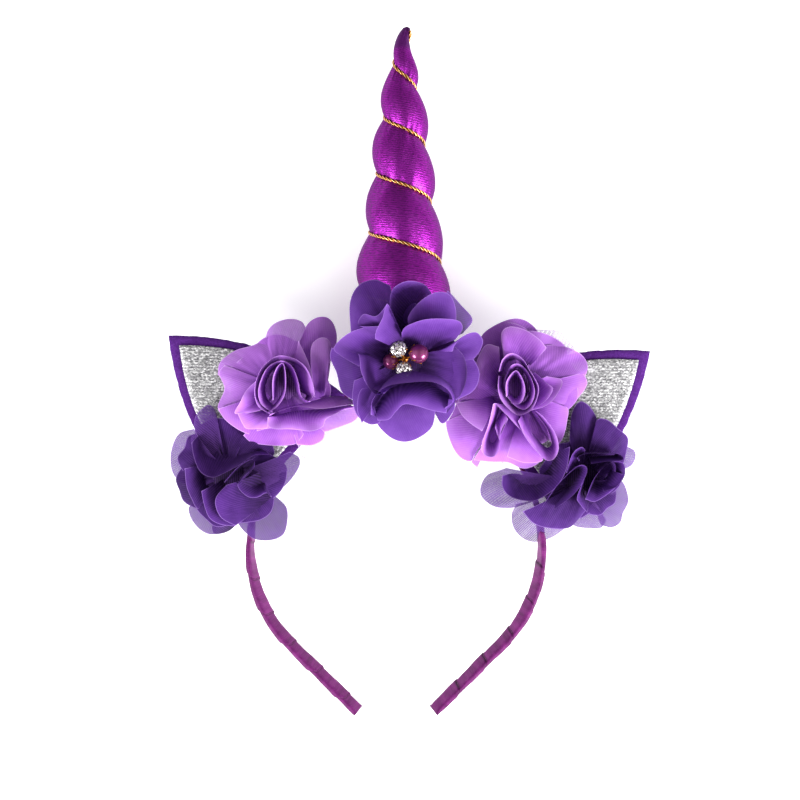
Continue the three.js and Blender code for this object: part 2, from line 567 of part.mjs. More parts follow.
const roseRightPetals = [
  { rim: [[-0.58, 0.6, 0.06], [-0.49, 0.8, 0.04], [-0.26, 0.95, 0.02], [-0.03, 1.02, 0], [0.17, 0.97, 0],
          [0.33, 0.8, 0.02], [0.31, 0.57, 0.08]], belly: 0.08 },
  { rim: [[0.31, 0.6, 0.12], [0.54, 0.63, 0.08], [0.8, 0.58, 0.04], [0.99, 0.46, 0], [1.07, 0.29, 0],
          [1, 0.09, 0.02]], belly: 0.1 },
  { rim: [[1, 0.21, 0.04], [1.06, 0.05, 0], [0.96, -0.13, 0], [0.8, -0.26, 0.04], [0.45, -0.26, 0.1]], belly: 0.1 },
  { rim: [[0.38, -1.1, 0.06], [0.27, -1.19, 0.02], [0.1, -1.23, 0], [-0.12, -1.14, 0], [-0.37, -1.13, 0],
          [-0.64, -1.1, 0.02]], belly: 0.16 },
  { rim: [[-0.51, -0.85, 0.1], [-0.62, -1.01, 0.04], [-0.68, -1.12, 0], [-0.83, -1.07, 0], [-0.95, -0.9, 0],
          [-1.03, -0.67, 0], [-1.05, -0.52, 0.02]], belly: 0.1 },
  { rim: [[-1.05, -0.57, 0.02], [-0.95, -0.39, 0.04], [-0.88, -0.21, 0.08], [-0.81, -0.07, 0.12]], belly: 0.08 },
  { root: [[-0.1, 0.39, 0.12], [0.04, 0.41, 0.1], [0.18, 0.3, 0.1]],
    rim: [[-0.19, 0.48, 0.34], [-0.23, 0.8, 0.26], [-0.11, 0.92, 0.22], [0.13, 0.87, 0.2],
          [0.34, 0.73, 0.18], [0.45, 0.6, 0.18]], belly: 0.08 },
  { root: [[0.13, -0.25, 0.06], [0.22, -0.11, 0.06], [0.22, 0.07, 0.06]],
    rim: [[0.22, -0.33, 0.24], [0.43, -0.26, 0.28], [0.59, -0.11, 0.26], [0.68, 0.11, 0.2],
          [0.45, 0.18, 0.2]], belly: 0.04 },
  { root: [[-0.14, -0.25, 0.12], [-0.01, -0.32, 0.1], [0.04, -0.39, 0.08]],
    rim: [[-0.33, -0.2, 0.42], [-0.12, -0.41, 0.42], [0.13, -0.69, 0.38], [0.34, -0.96, 0.3],
          [0.38, -1.09, 0.24], [0.13, -1.12, 0.18], [-0.14, -1.03, 0.14]], belly: 0.06 },
  { root: [[-0.24, -0.21, 0.14], [-0.28, -0.41, 0.1], [-0.36, -0.67, 0.06], [-0.37, -0.78, 0.05],
           [-0.33, -0.78, 0.05], [-0.27, -0.67, 0.06], [-0.21, -0.53, 0.08], [-0.14, -0.34, 0.12]],
    rim: [[-0.35, -0.2, 0.52], [-0.42, -0.51, 0.5], [-0.52, -0.81, 0.42], [-0.49, -0.97, 0.36],
          [-0.35, -1.01, 0.34], [-0.26, -0.9, 0.36], [-0.24, -0.71, 0.38], [-0.13, -0.45, 0.4]], fine: 1 },
  { root: [[0.08, -0.41, 0.12], [0.2, -0.62, 0.08], [0.34, -0.8, 0.05], [0.45, -0.9, 0.04],
           [0.52, -0.87, 0.04], [0.52, -0.78, 0.05], [0.45, -0.6, 0.07], [0.34, -0.44, 0.1],
           [0.25, -0.33, 0.12]],
    rim: [[0.02, -0.47, 0.4], [0.13, -0.71, 0.4], [0.31, -0.94, 0.34], [0.45, -1.07, 0.28],
          [0.57, -1.04, 0.26], [0.63, -0.87, 0.3], [0.57, -0.64, 0.34], [0.43, -0.44, 0.38],
          [0.31, -0.33, 0.4]], fine: 1 },
  { root: [[-0.19, 0.18, 0.1], [-0.19, 0.02, 0.1], [-0.14, -0.11, 0.1], [-0.05, -0.23, 0.1],
           [0.06, -0.29, 0.1], [0.18, -0.23, 0.1], [0.23, -0.09, 0.1], [0.23, 0.05, 0.1], [0.15, 0.23, 0.1],
           [0.06, 0.38, 0.1], [-0.05, 0.44, 0.1], [-0.14, 0.38, 0.1], [-0.19, 0.25, 0.1]],
    rim: [[-0.27, 0.21, 0.44], [-0.28, 0.02, 0.46], [-0.23, -0.15, 0.46], [-0.1, -0.3, 0.44],
          [0.04, -0.38, 0.42], [0.22, -0.3, 0.42], [0.31, -0.11, 0.42], [0.32, 0.07, 0.44],
          [0.2, 0.29, 0.48], [0.08, 0.48, 0.52], [-0.08, 0.56, 0.54], [-0.21, 0.47, 0.52],
          [-0.27, 0.28, 0.48]], fine: 1 },
  { root: [[-0.1, -0.07, 0.15], [-0.1, 0.09, 0.15], [-0.04, 0.18, 0.15], [0, 0.2, 0.15], [0.06, 0.09, 0.15],
           [0.06, -0.05, 0.15], [0.01, -0.14, 0.15], [-0.06, -0.15, 0.15]],
    rim: [[-0.16, -0.11, 0.44], [-0.16, 0.11, 0.48], [-0.08, 0.25, 0.5], [0.01, 0.29, 0.5],
          [0.11, 0.11, 0.48], [0.12, -0.07, 0.44], [0.04, -0.21, 0.4], [-0.09, -0.2, 0.38]], fine: 1 },
];

const roseRightVeil = [
  { rim: [[0.22, 0.85, -0.04], [0.41, 0.84, -0.06], [0.64, 0.82, -0.06], [0.76, 0.7, -0.06],
          [0.88, 0.56, -0.06]], belly: 0.04 },
];

const sideLeftPetals = [
  { rim: [[-0.52, 0.46, 0.1], [-0.53, 0.83, 0.05], [-0.41, 0.99, 0.02], [-0.3, 1.03, 0.02],
          [-0.21, 0.92, 0.05], [-0.16, 0.62, 0.1]], belly: 0.08 },
  { rim: [[-0.55, 0.67, 0.02], [-0.8, 0.56, -0.1], [-0.93, 0.26, -0.25], [-0.93, -0.01, -0.3],
          [-0.82, -0.16, -0.25], [-0.57, -0.25, -0.1]], belly: 0.16 },
  { rim: [[-0.53, -0.43, -0.1], [-0.67, -0.59, -0.25], [-0.63, -0.83, -0.42], [-0.48, -0.99, -0.5],
          [-0.29, -1, -0.4], [-0.21, -0.8, -0.2]], belly: 0.2 },
  { rim: [[0.07, -0.71, -0.05], [0.17, -0.89, -0.14], [0.34, -1.03, -0.2], [0.57, -1.05, -0.24],
          [0.76, -0.96, -0.24], [0.83, -0.75, -0.2], [0.82, -0.52, -0.14], [0.67, -0.34, -0.04]], belly: 0.16 },
  { rim: [[0.62, -0.34, 0.02], [0.87, -0.12, -0.04], [1.02, 0.1, -0.06], [1.03, 0.25, -0.06], [0.9, 0.35, 0]], belly: 0.1 },
  { root: [[-0.32, 0.72, 0.02], [-0.16, 0.67, 0.02], [0.07, 0.46, 0.04], [0.3, 0.39, 0.06],
           [0.44, 0.39, 0.08]],
    rim: [[-0.55, 0.51, 0.26], [-0.51, 0.28, 0.32], [-0.41, 0.09, 0.36], [-0.23, 0.01, 0.38],
          [-0.05, 0.07, 0.38], [0.21, 0.22, 0.38], [0.39, 0.34, 0.34], [0.62, 0.35, 0.28]], belly: -0.14 },
  { root: [[-0.09, -0.06, 0.06], [0, -0.29, 0.04], [0.16, -0.48, 0.04]],
    rim: [[-0.39, -0.2, 0.36], [-0.35, -0.43, 0.34], [-0.28, -0.63, 0.28], [-0.13, -0.73, 0.22],
          [0.08, -0.77, 0.16]], belly: 0.08 },
  { root: [[0.44, 0.05, 0.08], [0.53, -0.16, 0.06], [0.62, -0.34, 0.04]],
    rim: [[0, -0.09, 0.42], [-0.15, -0.26, 0.44], [-0.17, -0.42, 0.42], [-0.09, -0.61, 0.34],
          [0.11, -0.74, 0.24]], belly: 0.12 },
  { root: [[0.02, -0.06, 0.1], [0.18, 0.12, 0.1], [0.32, 0.22, 0.1], [0.37, 0.22, 0.1], [0.34, 0.18, 0.1],
           [0.24, 0.07, 0.1], [0.16, -0.04, 0.1]],
    rim: [[-0.04, -0.05, 0.44], [0.16, 0.18, 0.48], [0.34, 0.3, 0.46], [0.42, 0.28, 0.44],
          [0.41, 0.18, 0.44], [0.28, 0.07, 0.46], [0.17, -0.08, 0.46]], fine: 1 },
  { root: [[0.34, 0.1, 0.1], [0.34, -0.02, 0.1], [0.44, -0.11, 0.08], [0.53, -0.11, 0.06]],
    rim: [[0.21, 0.02, 0.4], [0.16, -0.09, 0.42], [0.21, -0.2, 0.38], [0.33, -0.29, 0.3],
          [0.45, -0.29, 0.26], [0.58, -0.23, 0.24], [0.63, -0.32, 0.18]], belly: 0.06 },
];

const sideRightPetals = [
  { rim: [[-0.18, 0.61, 0.12], [-0.14, 1, 0.08], [-0.02, 1.18, 0.05], [0.13, 1.1, 0.04], [0.25, 0.88, 0.06],
          [0.23, 0.61, 0.12]], belly: 0.06 },
  { rim: [[0.17, 0.65, 0.12], [0.23, 0.9, 0.1], [0.39, 0.9, 0.08], [0.56, 0.76, 0.06], [0.71, 0.61, 0.04],
          [0.69, 0.38, 0.02], [0.62, 0.14, 0.05]], belly: 0.08 },
  { rim: [[0.62, 0.51, 0], [0.81, 0.41, -0.08], [0.84, 0.28, -0.1], [0.76, 0.15, -0.1], [0.56, 0.1, 0]], belly: 0.08 },
  { rim: [[0.49, 0.01, 0.02], [0.66, -0.09, -0.1], [0.76, -0.38, -0.25], [0.69, -0.6, -0.32],
          [0.66, -0.74, -0.36], [0.53, -0.82, -0.36], [0.35, -0.77, -0.28]], belly: 0.18 },
  { rim: [[0.42, -0.68, -0.2], [0.36, -0.82, -0.35], [0.17, -0.84, -0.45], [-0.02, -0.8, -0.42],
          [-0.12, -0.69, -0.3]], belly: 0.2 },
  { rim: [[-0.11, -0.68, -0.2], [-0.2, -0.83, -0.35], [-0.39, -0.98, -0.45], [-0.62, -1.05, -0.5],
          [-0.81, -0.98, -0.48], [-0.95, -0.81, -0.42], [-0.99, -0.59, -0.35], [-0.94, -0.4, -0.2]], belly: 0.2 },
  { rim: [[-0.84, -0.38, -0.04], [-1.05, -0.44, -0.08], [-1.3, -0.41, -0.12], [-1.47, -0.27, -0.14],
          [-1.48, -0.09, -0.14], [-1.37, 0.08, -0.08], [-1.12, 0.19, 0]], belly: 0.08 },
  { rim: [[-0.88, -0.47, 0.02], [-0.71, -0.66, -0.02], [-0.48, -0.75, -0.06], [-0.17, -0.76, -0.08],
          [-0.01, -0.6, -0.02], [0.08, -0.46, 0.05]], belly: 0.14 },
  { root: [[-0.94, 0.1, 0], [-0.8, 0.06, 0], [-0.62, 0.06, 0.02], [-0.48, 0.19, 0.04], [-0.39, 0.38, 0.06]],
    rim: [[-1.2, 0.1, 0.14], [-1.2, -0.06, 0.16], [-1.1, -0.2, 0.18], [-0.88, -0.27, 0.2],
          [-0.66, -0.26, 0.22], [-0.39, -0.06, 0.24], [-0.25, 0.19, 0.26], [-0.19, 0.54, 0.26]], belly: -0.06 },
  { root: [[-0.5, -0.29, 0.06], [-0.32, -0.04, 0.08], [-0.11, 0.16, 0.1], [-0.04, 0.17, 0.1],
           [-0.05, 0.1, 0.1], [-0.18, -0.11, 0.08], [-0.39, -0.31, 0.06]],
    rim: [[-0.62, -0.36, 0.28], [-0.39, 0, 0.36], [-0.11, 0.27, 0.42], [0.03, 0.26, 0.42], [0.02, 0.11, 0.4],
          [-0.13, -0.15, 0.34], [-0.43, -0.41, 0.26]], fine: 1 },
  { root: [[0.12, -0.2, 0.1], [0.21, 0.03, 0.08], [0.33, 0.19, 0.08], [0.44, 0.25, 0.08], [0.51, 0.23, 0.08],
           [0.51, 0.11, 0.08], [0.42, 0.01, 0.08], [0.28, -0.06, 0.1]],
    rim: [[0.03, -0.24, 0.34], [0.13, 0.06, 0.42], [0.28, 0.26, 0.46], [0.45, 0.34, 0.46], [0.59, 0.3, 0.42],
          [0.61, 0.11, 0.38], [0.49, -0.06, 0.36], [0.3, -0.13, 0.34]], fine: 1 },
  { root: [[-0.02, 0.33, 0.1], [-0.04, 0.39, 0.1], [0.07, 0.42, 0.1], [0.3, 0.42, 0.1], [0.46, 0.41, 0.1],
           [0.49, 0.38, 0.1], [0.3, 0.37, 0.1], [0.12, 0.34, 0.1]],
    rim: [[-0.08, 0.35, 0.42], [-0.11, 0.41, 0.42], [0.04, 0.47, 0.44], [0.3, 0.46, 0.42],
          [0.53, 0.44, 0.38], [0.58, 0.35, 0.36], [0.35, 0.34, 0.4], [0.1, 0.31, 0.42]], fine: 1 },
];

// Where the flowers sit: x and y are shares of bandHalfWidth and archHeight. The ears' faces set the level of the pads.
const feltBack = bandWidth / 2 + seatGap;
const glitterBack = feltBack + feltThickness + seatGap;
const padBack = glitterBack + glitterThickness + seatGap;
const centrePadZ = hornForward + hornRadius + trimGap + 1;

const sideFlowers = [
  { name: 'side_flower_left', x: -1.129, y: 0.476, z: padBack, radius: sideFlowerRadius, petals: sideLeftPetals, pitch: 4, yaw: -6 },
  { name: 'side_flower_right', x: 1.259, y: 0.444, z: padBack, radius: sideFlowerRadius, petals: sideRightPetals, pitch: 4, yaw: 6 },
];
const roses = [
  { name: 'rose_left', x: -0.781, y: 1.023, z: padBack + roseRise, padDepth: roseRise, radius: roseRadius,
    petals: [...roseLeftVeil, ...roseLeftPetals], color: lilacChiffon },
  { name: 'rose_right', x: 0.819, y: 1.016, z: padBack + roseRise, padDepth: roseRise, radius: roseRadius,
    petals: [...roseRightVeil, ...roseRightPetals], color: lilacChiffon },
];
const centreFlower = {
  name: 'flower_centre', x: 0.06, y: 1.219, z: centrePadZ, padDepth: centrePadDepth, radius: centreFlowerRadius,
  petals: centrePetals,
};

function flowerFrame(flower, frame) {
  const group = new THREE.Group();
  group.position.set(flower.x * bandHalfWidth, flower.y * archHeight, flower.z);
  group.updateMatrix();
  group.matrixWorld.multiplyMatrices(frame.matrixWorld, group.matrix);
  return group;
}

function inFrameOf(solid, from, to) {
  const change = to.matrixWorld.clone().invert().multiply(from.matrixWorld);
  return solid.transform(change.elements);
}

function named(name, geometry, material) {
  const mesh = new THREE.Mesh(geometry, material);
  mesh.name = name;
  return mesh;
}

// Assembly

const model = new THREE.Group();
model.add(bandFrame, hornFrame);

const bandSolid = solidOf(bandGeometry());
bandFrame.add(named('headband', geometryOf(bandSolid), satin));

const floorBox = new THREE.BoxGeometry(4 * hornLength, 4 * hornLength, hornRadius)
  .translate(0, 0, -hornRadius / 2);
const world = new THREE.Group();
const bandRoom = inFrameOf(solidOf(bandGeometry(seatGap)), bandFrame, hornFrame);
const hornSolid = largestBody(solidOf(hornGeometry())
  .subtract(bandRoom)
  .subtract(inFrameOf(solidOf(floorBox), world, hornFrame)));
hornFrame.add(named('horn_body', geometryOf(hornSolid), lame));
hornFrame.add(named('horn_cord', cordGeometry(), gold));

const rooms = [{ solid: solidOf(bandGeometry(seatGap)), place: bandFrame }];
for (const ear of ears) {
  const group = new THREE.Group();
  group.position.set(ear.x * bandHalfWidth, ear.y * archHeight, feltBack);
  group.rotation.z = rad(ear.turn);
  const plate = named('ear_felt_' + ear.side, earGeometry(0, feltThickness), felt);
  const inset = named('ear_glitter_' + ear.side, earGeometry(earBorder, glitterThickness), glitter);
  inset.position.z = glitterBack - feltBack;
  group.add(plate, inset);
  bandFrame.add(group);
  group.updateMatrixWorld();
  const room = earGeometry(-seatGap, padBack - feltBack + 0.01);
  rooms.push({ solid: solidOf(room.translate(0, 0, -0.01)), place: group });
}

// Beads, on a foot of wire that stands on the centre flower's core
function beadPlace(bead) {
  return new THREE.Vector3(bead.right, bead.up, bead.front).multiplyScalar(centreFlower.radius);
}

const centreFrame = new THREE.Group();
centreFrame.position.set(centreFlower.x * bandHalfWidth, centreFlower.y * archHeight, centreFlower.z);
bandFrame.add(centreFrame);
centreFrame.updateMatrixWorld();
const footLevel = padThickness + coreRise * centreFlower.radius + seatGap;

function wireSolid(grow) {
  const foot = new THREE.CylinderGeometry(wireFootRadius + grow, wireFootRadius + grow, wireFootThickness + 2 * grow, 12);
  let solid = solidOf(foot.rotateX(Math.PI / 2).translate(0, 0, footLevel + wireFootThickness / 2));
  for (const bead of beads) {
    const from = new THREE.Vector3(0, 0, footLevel + wireFootThickness / 2);
    const stem = beadPlace(bead).sub(from);
    const rod = new THREE.CylinderGeometry(wireRadius + grow, wireRadius + grow, stem.length(), 6);
    rod.translate(0, stem.length() / 2, 0).applyQuaternion(new THREE.Quaternion().setFromUnitVectors(Y, stem.normalize()));
    solid = solid.add(solidOf(rod.translate(...from.toArray())));
  }
  return solid;
}

let wire = wireSolid(0);
let beadRoom = wireSolid(seatGap);
for (const bead of beads) {
  const room = solidOf(new THREE.IcosahedronGeometry(bead.radius + seatGap, 3).translate(...beadPlace(bead).toArray()));
  wire = wire.subtract(room);
  beadRoom = beadRoom.add(room);
  const ball = bead.cut ? new THREE.IcosahedronGeometry(bead.radius, 1) : new THREE.SphereGeometry(bead.radius, 12, 8);
  const mesh = named(bead.name, ball, bead.cut ? crystal : pearl);
  mesh.position.copy(beadPlace(bead));
  centreFrame.add(mesh);
}
centreFrame.add(named('bead_wire', geometryOf(largestBody(wire)), gold));
rooms.push({ solid: beadRoom, place: centreFrame });

// Each flower gives way to the ones above it.
rooms.push({ solid: solidOf(hornGeometry(trimGap)), place: hornFrame });
for (const flower of [centreFlower, ...roses, ...sideFlowers]) {
  const place = flowerFrame(flower, bandFrame);
  let solid = flowerSolid(flower, bandFrame);
  for (const room of rooms) solid = solid.subtract(inFrameOf(room.solid, room.place, place));
  const mesh = named(flower.name, geometryOf(largestBody(solid)), flower.color ?? darkChiffon);
  mesh.position.copy(place.position);
  bandFrame.add(mesh);
  rooms.push({ solid: flowerSolid(flower, bandFrame, petalGap), place });
}

model.updateMatrixWorld(true);
const box = new THREE.Box3().setFromObject(model, true);
model.position.set(-(box.min.x + box.max.x) / 2, -(box.min.y + box.max.y) / 2, -box.min.z);

export default model;
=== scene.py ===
import math
import random

import bpy
import numpy as np
from mathutils import Matrix, Vector


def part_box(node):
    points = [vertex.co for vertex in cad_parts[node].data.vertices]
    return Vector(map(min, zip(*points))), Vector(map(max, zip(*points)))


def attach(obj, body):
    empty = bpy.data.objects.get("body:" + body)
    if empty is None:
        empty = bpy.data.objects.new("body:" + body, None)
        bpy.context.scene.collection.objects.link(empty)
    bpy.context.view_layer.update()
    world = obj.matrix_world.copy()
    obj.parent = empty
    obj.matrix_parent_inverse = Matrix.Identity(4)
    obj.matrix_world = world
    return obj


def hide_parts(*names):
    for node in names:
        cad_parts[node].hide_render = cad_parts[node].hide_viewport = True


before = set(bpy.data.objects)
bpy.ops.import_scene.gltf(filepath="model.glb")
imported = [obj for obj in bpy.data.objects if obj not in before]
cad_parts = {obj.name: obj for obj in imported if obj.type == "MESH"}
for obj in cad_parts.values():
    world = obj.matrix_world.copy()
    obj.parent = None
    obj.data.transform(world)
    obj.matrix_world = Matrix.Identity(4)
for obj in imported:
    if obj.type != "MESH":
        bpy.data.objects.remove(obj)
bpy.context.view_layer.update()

MM = 0.001

# Sizes and places of the CAD model, in millimetres
BAND_HALF_WIDTH = 61.3
ARCH_HEIGHT = 68.5
SHOULDER_RADIUS = 57.5
SHOULDER_TURN = math.radians(45)
LEG_LENGTH = 40.4
BAND_WIDTH = 7.0
BAND_THICKNESS = 2.6
BAND_CORNER = 4
LEG_TWIST = math.radians(32)
RIBBON_PITCH = 16.0
RIBBON_STEP = 0.5
END_FOLD = 3.5
HORN_LENGTH = 152.0
HORN_RADIUS = 21.0
HORN_OFFSET = 2.7
HORN_FORWARD = 7.5
HORN_LEAN = math.radians(7)
HORN_LIFT = 0.5
HORN_FLAT = 0.5
GROOVE_PITCH = 28.6
GROOVE_DEPTH = 3.9
GROOVE_START = 22.0
GROOVE_TAPER = 0.28
GROOVE_PHASE = 0.136
LOBE_SKEW = 1.1
LOBE_FULLNESS = 0.7
CORD_DIAMETER = 1.5
CORD_LIFT = 0.55
CORD_START = 28.0
CORD_END = 150.0
EAR_HEIGHT = 72.0
EAR_WIDTH = 60.0
EAR_TIP_ANGLE = math.radians(84)
EAR_BORDER = 4.0
SEAT_GAP = 0.3
FELT_THICKNESS = 2.0
GLITTER_THICKNESS = 1.0
PAD_THICKNESS = 1.6
ROOT_SHARE = 0.13
SHEER = 0.32  # how much of a petal's sheerness in the tables shows
PETAL_STEP = 0.006
CORE_REACH = 0.32
CORE_RISE = 0.18
FELT_BACK = BAND_WIDTH / 2 + SEAT_GAP
GLITTER_BACK = FELT_BACK + FELT_THICKNESS + SEAT_GAP
PAD_BACK = GLITTER_BACK + GLITTER_THICKNESS + SEAT_GAP
CENTRE_PAD = HORN_FORWARD + HORN_RADIUS + 0.35 + 1

HORN_PROFILE = (  # shares of the horn's length and radius
    (0, 0.74), (0.03, 0.9), (0.1, 1), (0.2, 1), (0.3, 0.94), (0.4, 0.83), (0.5, 0.72), (0.6, 0.64),
    (0.7, 0.565), (0.8, 0.445), (0.87, 0.33), (0.92, 0.21), (0.96, 0.165), (0.985, 0.125), (0.996, 0.08), (1, 0),
)
HORN_BEND = (  # sideways shift of the axis, in shares of the horn's length and radius
    (0, 0), (0.3, 0.005), (0.6, -0.01), (0.85, 0.01), (0.93, -0.01), (0.97, 0.03), (1, 0.1),
)
EARS = {  # foot in shares of the band's half width and arch, and the way that the tip points
    "left": (-0.674, 0.619, math.radians(48.5)),
    "right": (0.799, 0.587, math.radians(-53)),
}

# Petals, from the lowest to the topmost. Each is a sheet between its root and its rim, whose points are (right, up,
# towards the viewer) in shares of the flower's radius. A petal without a root grows from the flower's middle, belly is
# its swelling, sheer is how much light one layer lets through, and fine marks a tight fold.
CENTRE_PETALS = [
    {"rim": [(-0.68, 0.31, 0.05), (-0.69, 0.69, 0.02), (-0.58, 0.91, 0), (-0.38, 0.98, 0),
             (-0.18, 0.91, 0.05)], "belly": 0.1},
    {"rim": [(0.54, 0.85, 0), (0.7, 0.67, 0), (0.85, 0.48, 0.02), (0.73, 0.31, 0.08)], "belly": 0.12, "sheer": 0.3},
    {"rim": [(0.69, 0.19, 0.12), (0.88, -0.04, 0.08), (0.94, -0.23, 0.05), (0.86, -0.42, 0.03),
             (0.64, -0.54, 0.05)], "belly": 0.12},
    {"rim": [(0.63, -0.47, 0.02), (0.62, -0.66, -0.04), (0.47, -0.84, -0.06), (0.34, -0.6, 0)], "belly": 0.05},
    {"rim": [(0.39, -0.66, 0), (0.34, -0.88, -0.05), (0.18, -1.02, -0.08), (0.01, -1.08, -0.1),
             (-0.15, -1.04, -0.08), (-0.29, -0.92, -0.05), (-0.37, -0.8, 0)], "belly": 0.12},
    {"rim": [(-0.32, -0.83, 0.02), (-0.45, -0.84, 0), (-0.6, -0.73, 0), (-0.66, -0.51, 0.03),
             (-0.64, -0.28, 0.08)], "belly": 0.1},
    {"rim": [(-0.67, -0.53, 0.02), (-0.8, -0.42, 0), (-0.86, -0.19, 0), (-0.94, 0, 0), (-0.92, 0.13, 0.05)], "belly": 0.1},
    {"root": [(-0.09, 0.19, 0.08), (-0.09, 0.31, 0.12), (0.03, 0.37, 0.1), (0.15, 0.31, 0.08)],
     "rim": [(-0.18, 0.51, 0.42), (-0.19, 0.7, 0.4), (-0.16, 0.88, 0.32), (-0.04, 0.97, 0.26),
             (0.1, 0.99, 0.24), (0.25, 0.94, 0.22), (0.34, 0.83, 0.25)], "belly": -0.12},
    {"root": [(0.03, 0.25, 0.08), (0.15, 0.31, 0.08), (0.29, 0.25, 0.1)],
     "rim": [(0.09, 0.37, 0.3), (0.04, 0.54, 0.34), (0.18, 0.73, 0.34), (0.38, 0.85, 0.3),
             (0.56, 0.82, 0.22), (0.64, 0.63, 0.2), (0.64, 0.42, 0.25)], "belly": 0.06},
    {"root": [(0.29, 0.1, 0.08), (0.38, 0.01, 0.06), (0.29, -0.07, 0.05)],
     "rim": [(0.6, 0.1, 0.2), (0.63, 0.19, 0.26), (0.73, 0.3, 0.24), (0.89, 0.34, 0.18), (0.98, 0.23, 0.12),
             (0.94, 0.09, 0.1), (0.86, -0.01, 0.08)], "belly": 0.06},
    {"root": [(-0.04, 0.19, 0.16), (0, 0.19, 0.14), (0.13, 0.1, 0.1), (0.29, 0.1, 0.12)],
     "rim": [(-0.04, 0.37, 0.5), (0.02, 0.45, 0.52), (0.23, 0.53, 0.56), (0.48, 0.54, 0.52),
             (0.68, 0.5, 0.42), (0.72, 0.39, 0.36), (0.63, 0.25, 0.24)], "belly": -0.04},
    {"rim": [(0.63, 0.16, 0.16), (0.74, 0.04, 0.2), (0.78, -0.15, 0.2), (0.75, -0.34, 0.16),
             (0.66, -0.5, 0.12), (0.51, -0.51, 0.1)], "belly": -0.05},
    {"root": [(-0.11, 0.15, 0.1), (-0.22, 0.1, 0.06), (-0.22, -0.01, 0.04)],
     "rim": [(-0.2, 0.42, 0.34), (-0.51, 0.41, 0.3), (-0.73, 0.32, 0.26), (-0.89, 0.15, 0.2),
             (-0.8, 0.04, 0.16), (-0.58, -0.09, 0.14)], "belly": 0.04},
    {"root": [(-0.12, 0.19, 0.1), (-0.09, 0.25, 0.14)],
     "rim": [(-0.32, 0.44, 0.4), (-0.58, 0.44, 0.3), (-0.52, 0.58, 0.32), (-0.37, 0.56, 0.38),
             (-0.28, 0.64, 0.42), (-0.22, 0.73, 0.46)], "belly": 0.05},
    {"root": [(-0.01, 0.27, 0.2), (-0.01, 0.19, 0.16), (-0.09, 0.13, 0.12)],
     "rim": [(-0.15, 0.61, 0.56), (-0.22, 0.73, 0.6), (-0.28, 0.56, 0.6), (-0.36, 0.39, 0.56),
             (-0.37, 0.29, 0.5)], "belly": 0.05},
    {"root": [(-0.23, 0.01, 0.05), (-0.2, -0.13, 0.03), (-0.12, -0.19, 0.05)],
     "rim": [(-0.69, 0.11, 0.3), (-0.58, 0.08, 0.36), (-0.55, -0.12, 0.4), (-0.47, -0.31, 0.38),
             (-0.36, -0.43, 0.34), (-0.23, -0.39, 0.3)], "belly": -0.08},
    {"root": [(-0.2, -0.34, 0.03), (-0.15, -0.28, 0.05), (-0.09, -0.28, 0.06)],
     "rim": [(-0.54, -0.82, 0.02), (-0.6, -0.63, 0.1), (-0.56, -0.39, 0.2), (-0.44, -0.35, 0.26),
             (-0.26, -0.42, 0.3)], "belly": 0.04},
    {"root": [(-0.29, -0.76, 0.1), (-0.42, -0.6, 0.12), (-0.32, -0.37, 0.2), (-0.15, -0.2, 0.28),
              (0.06, -0.13, 0.32), (0.38, -0.18, 0.28), (0.56, -0.31, 0.2), (0.64, -0.51, 0.12),
              (0.53, -0.68, 0.08)],
     "rim": [(-0.43, -0.69, 0.2), (-0.4, -0.48, 0.36), (-0.23, -0.31, 0.5), (0.06, -0.25, 0.56),
             (0.34, -0.25, 0.52), (0.53, -0.35, 0.42), (0.6, -0.51, 0.28), (0.5, -0.61, 0.18)], "fine": 1},
    {"root": [(-0.38, -0.6, 0.05), (-0.2, -0.39, 0.06), (0.03, -0.31, 0.08), (0.29, -0.32, 0.08),
              (0.56, -0.45, 0.06)],
     "rim": [(-0.34, -0.77, 0.16), (-0.2, -0.75, 0.2), (-0.11, -0.65, 0.24), (-0.01, -0.56, 0.26),
             (0.15, -0.58, 0.25), (0.34, -0.64, 0.2), (0.52, -0.68, 0.14)], "belly": 0.05},
]
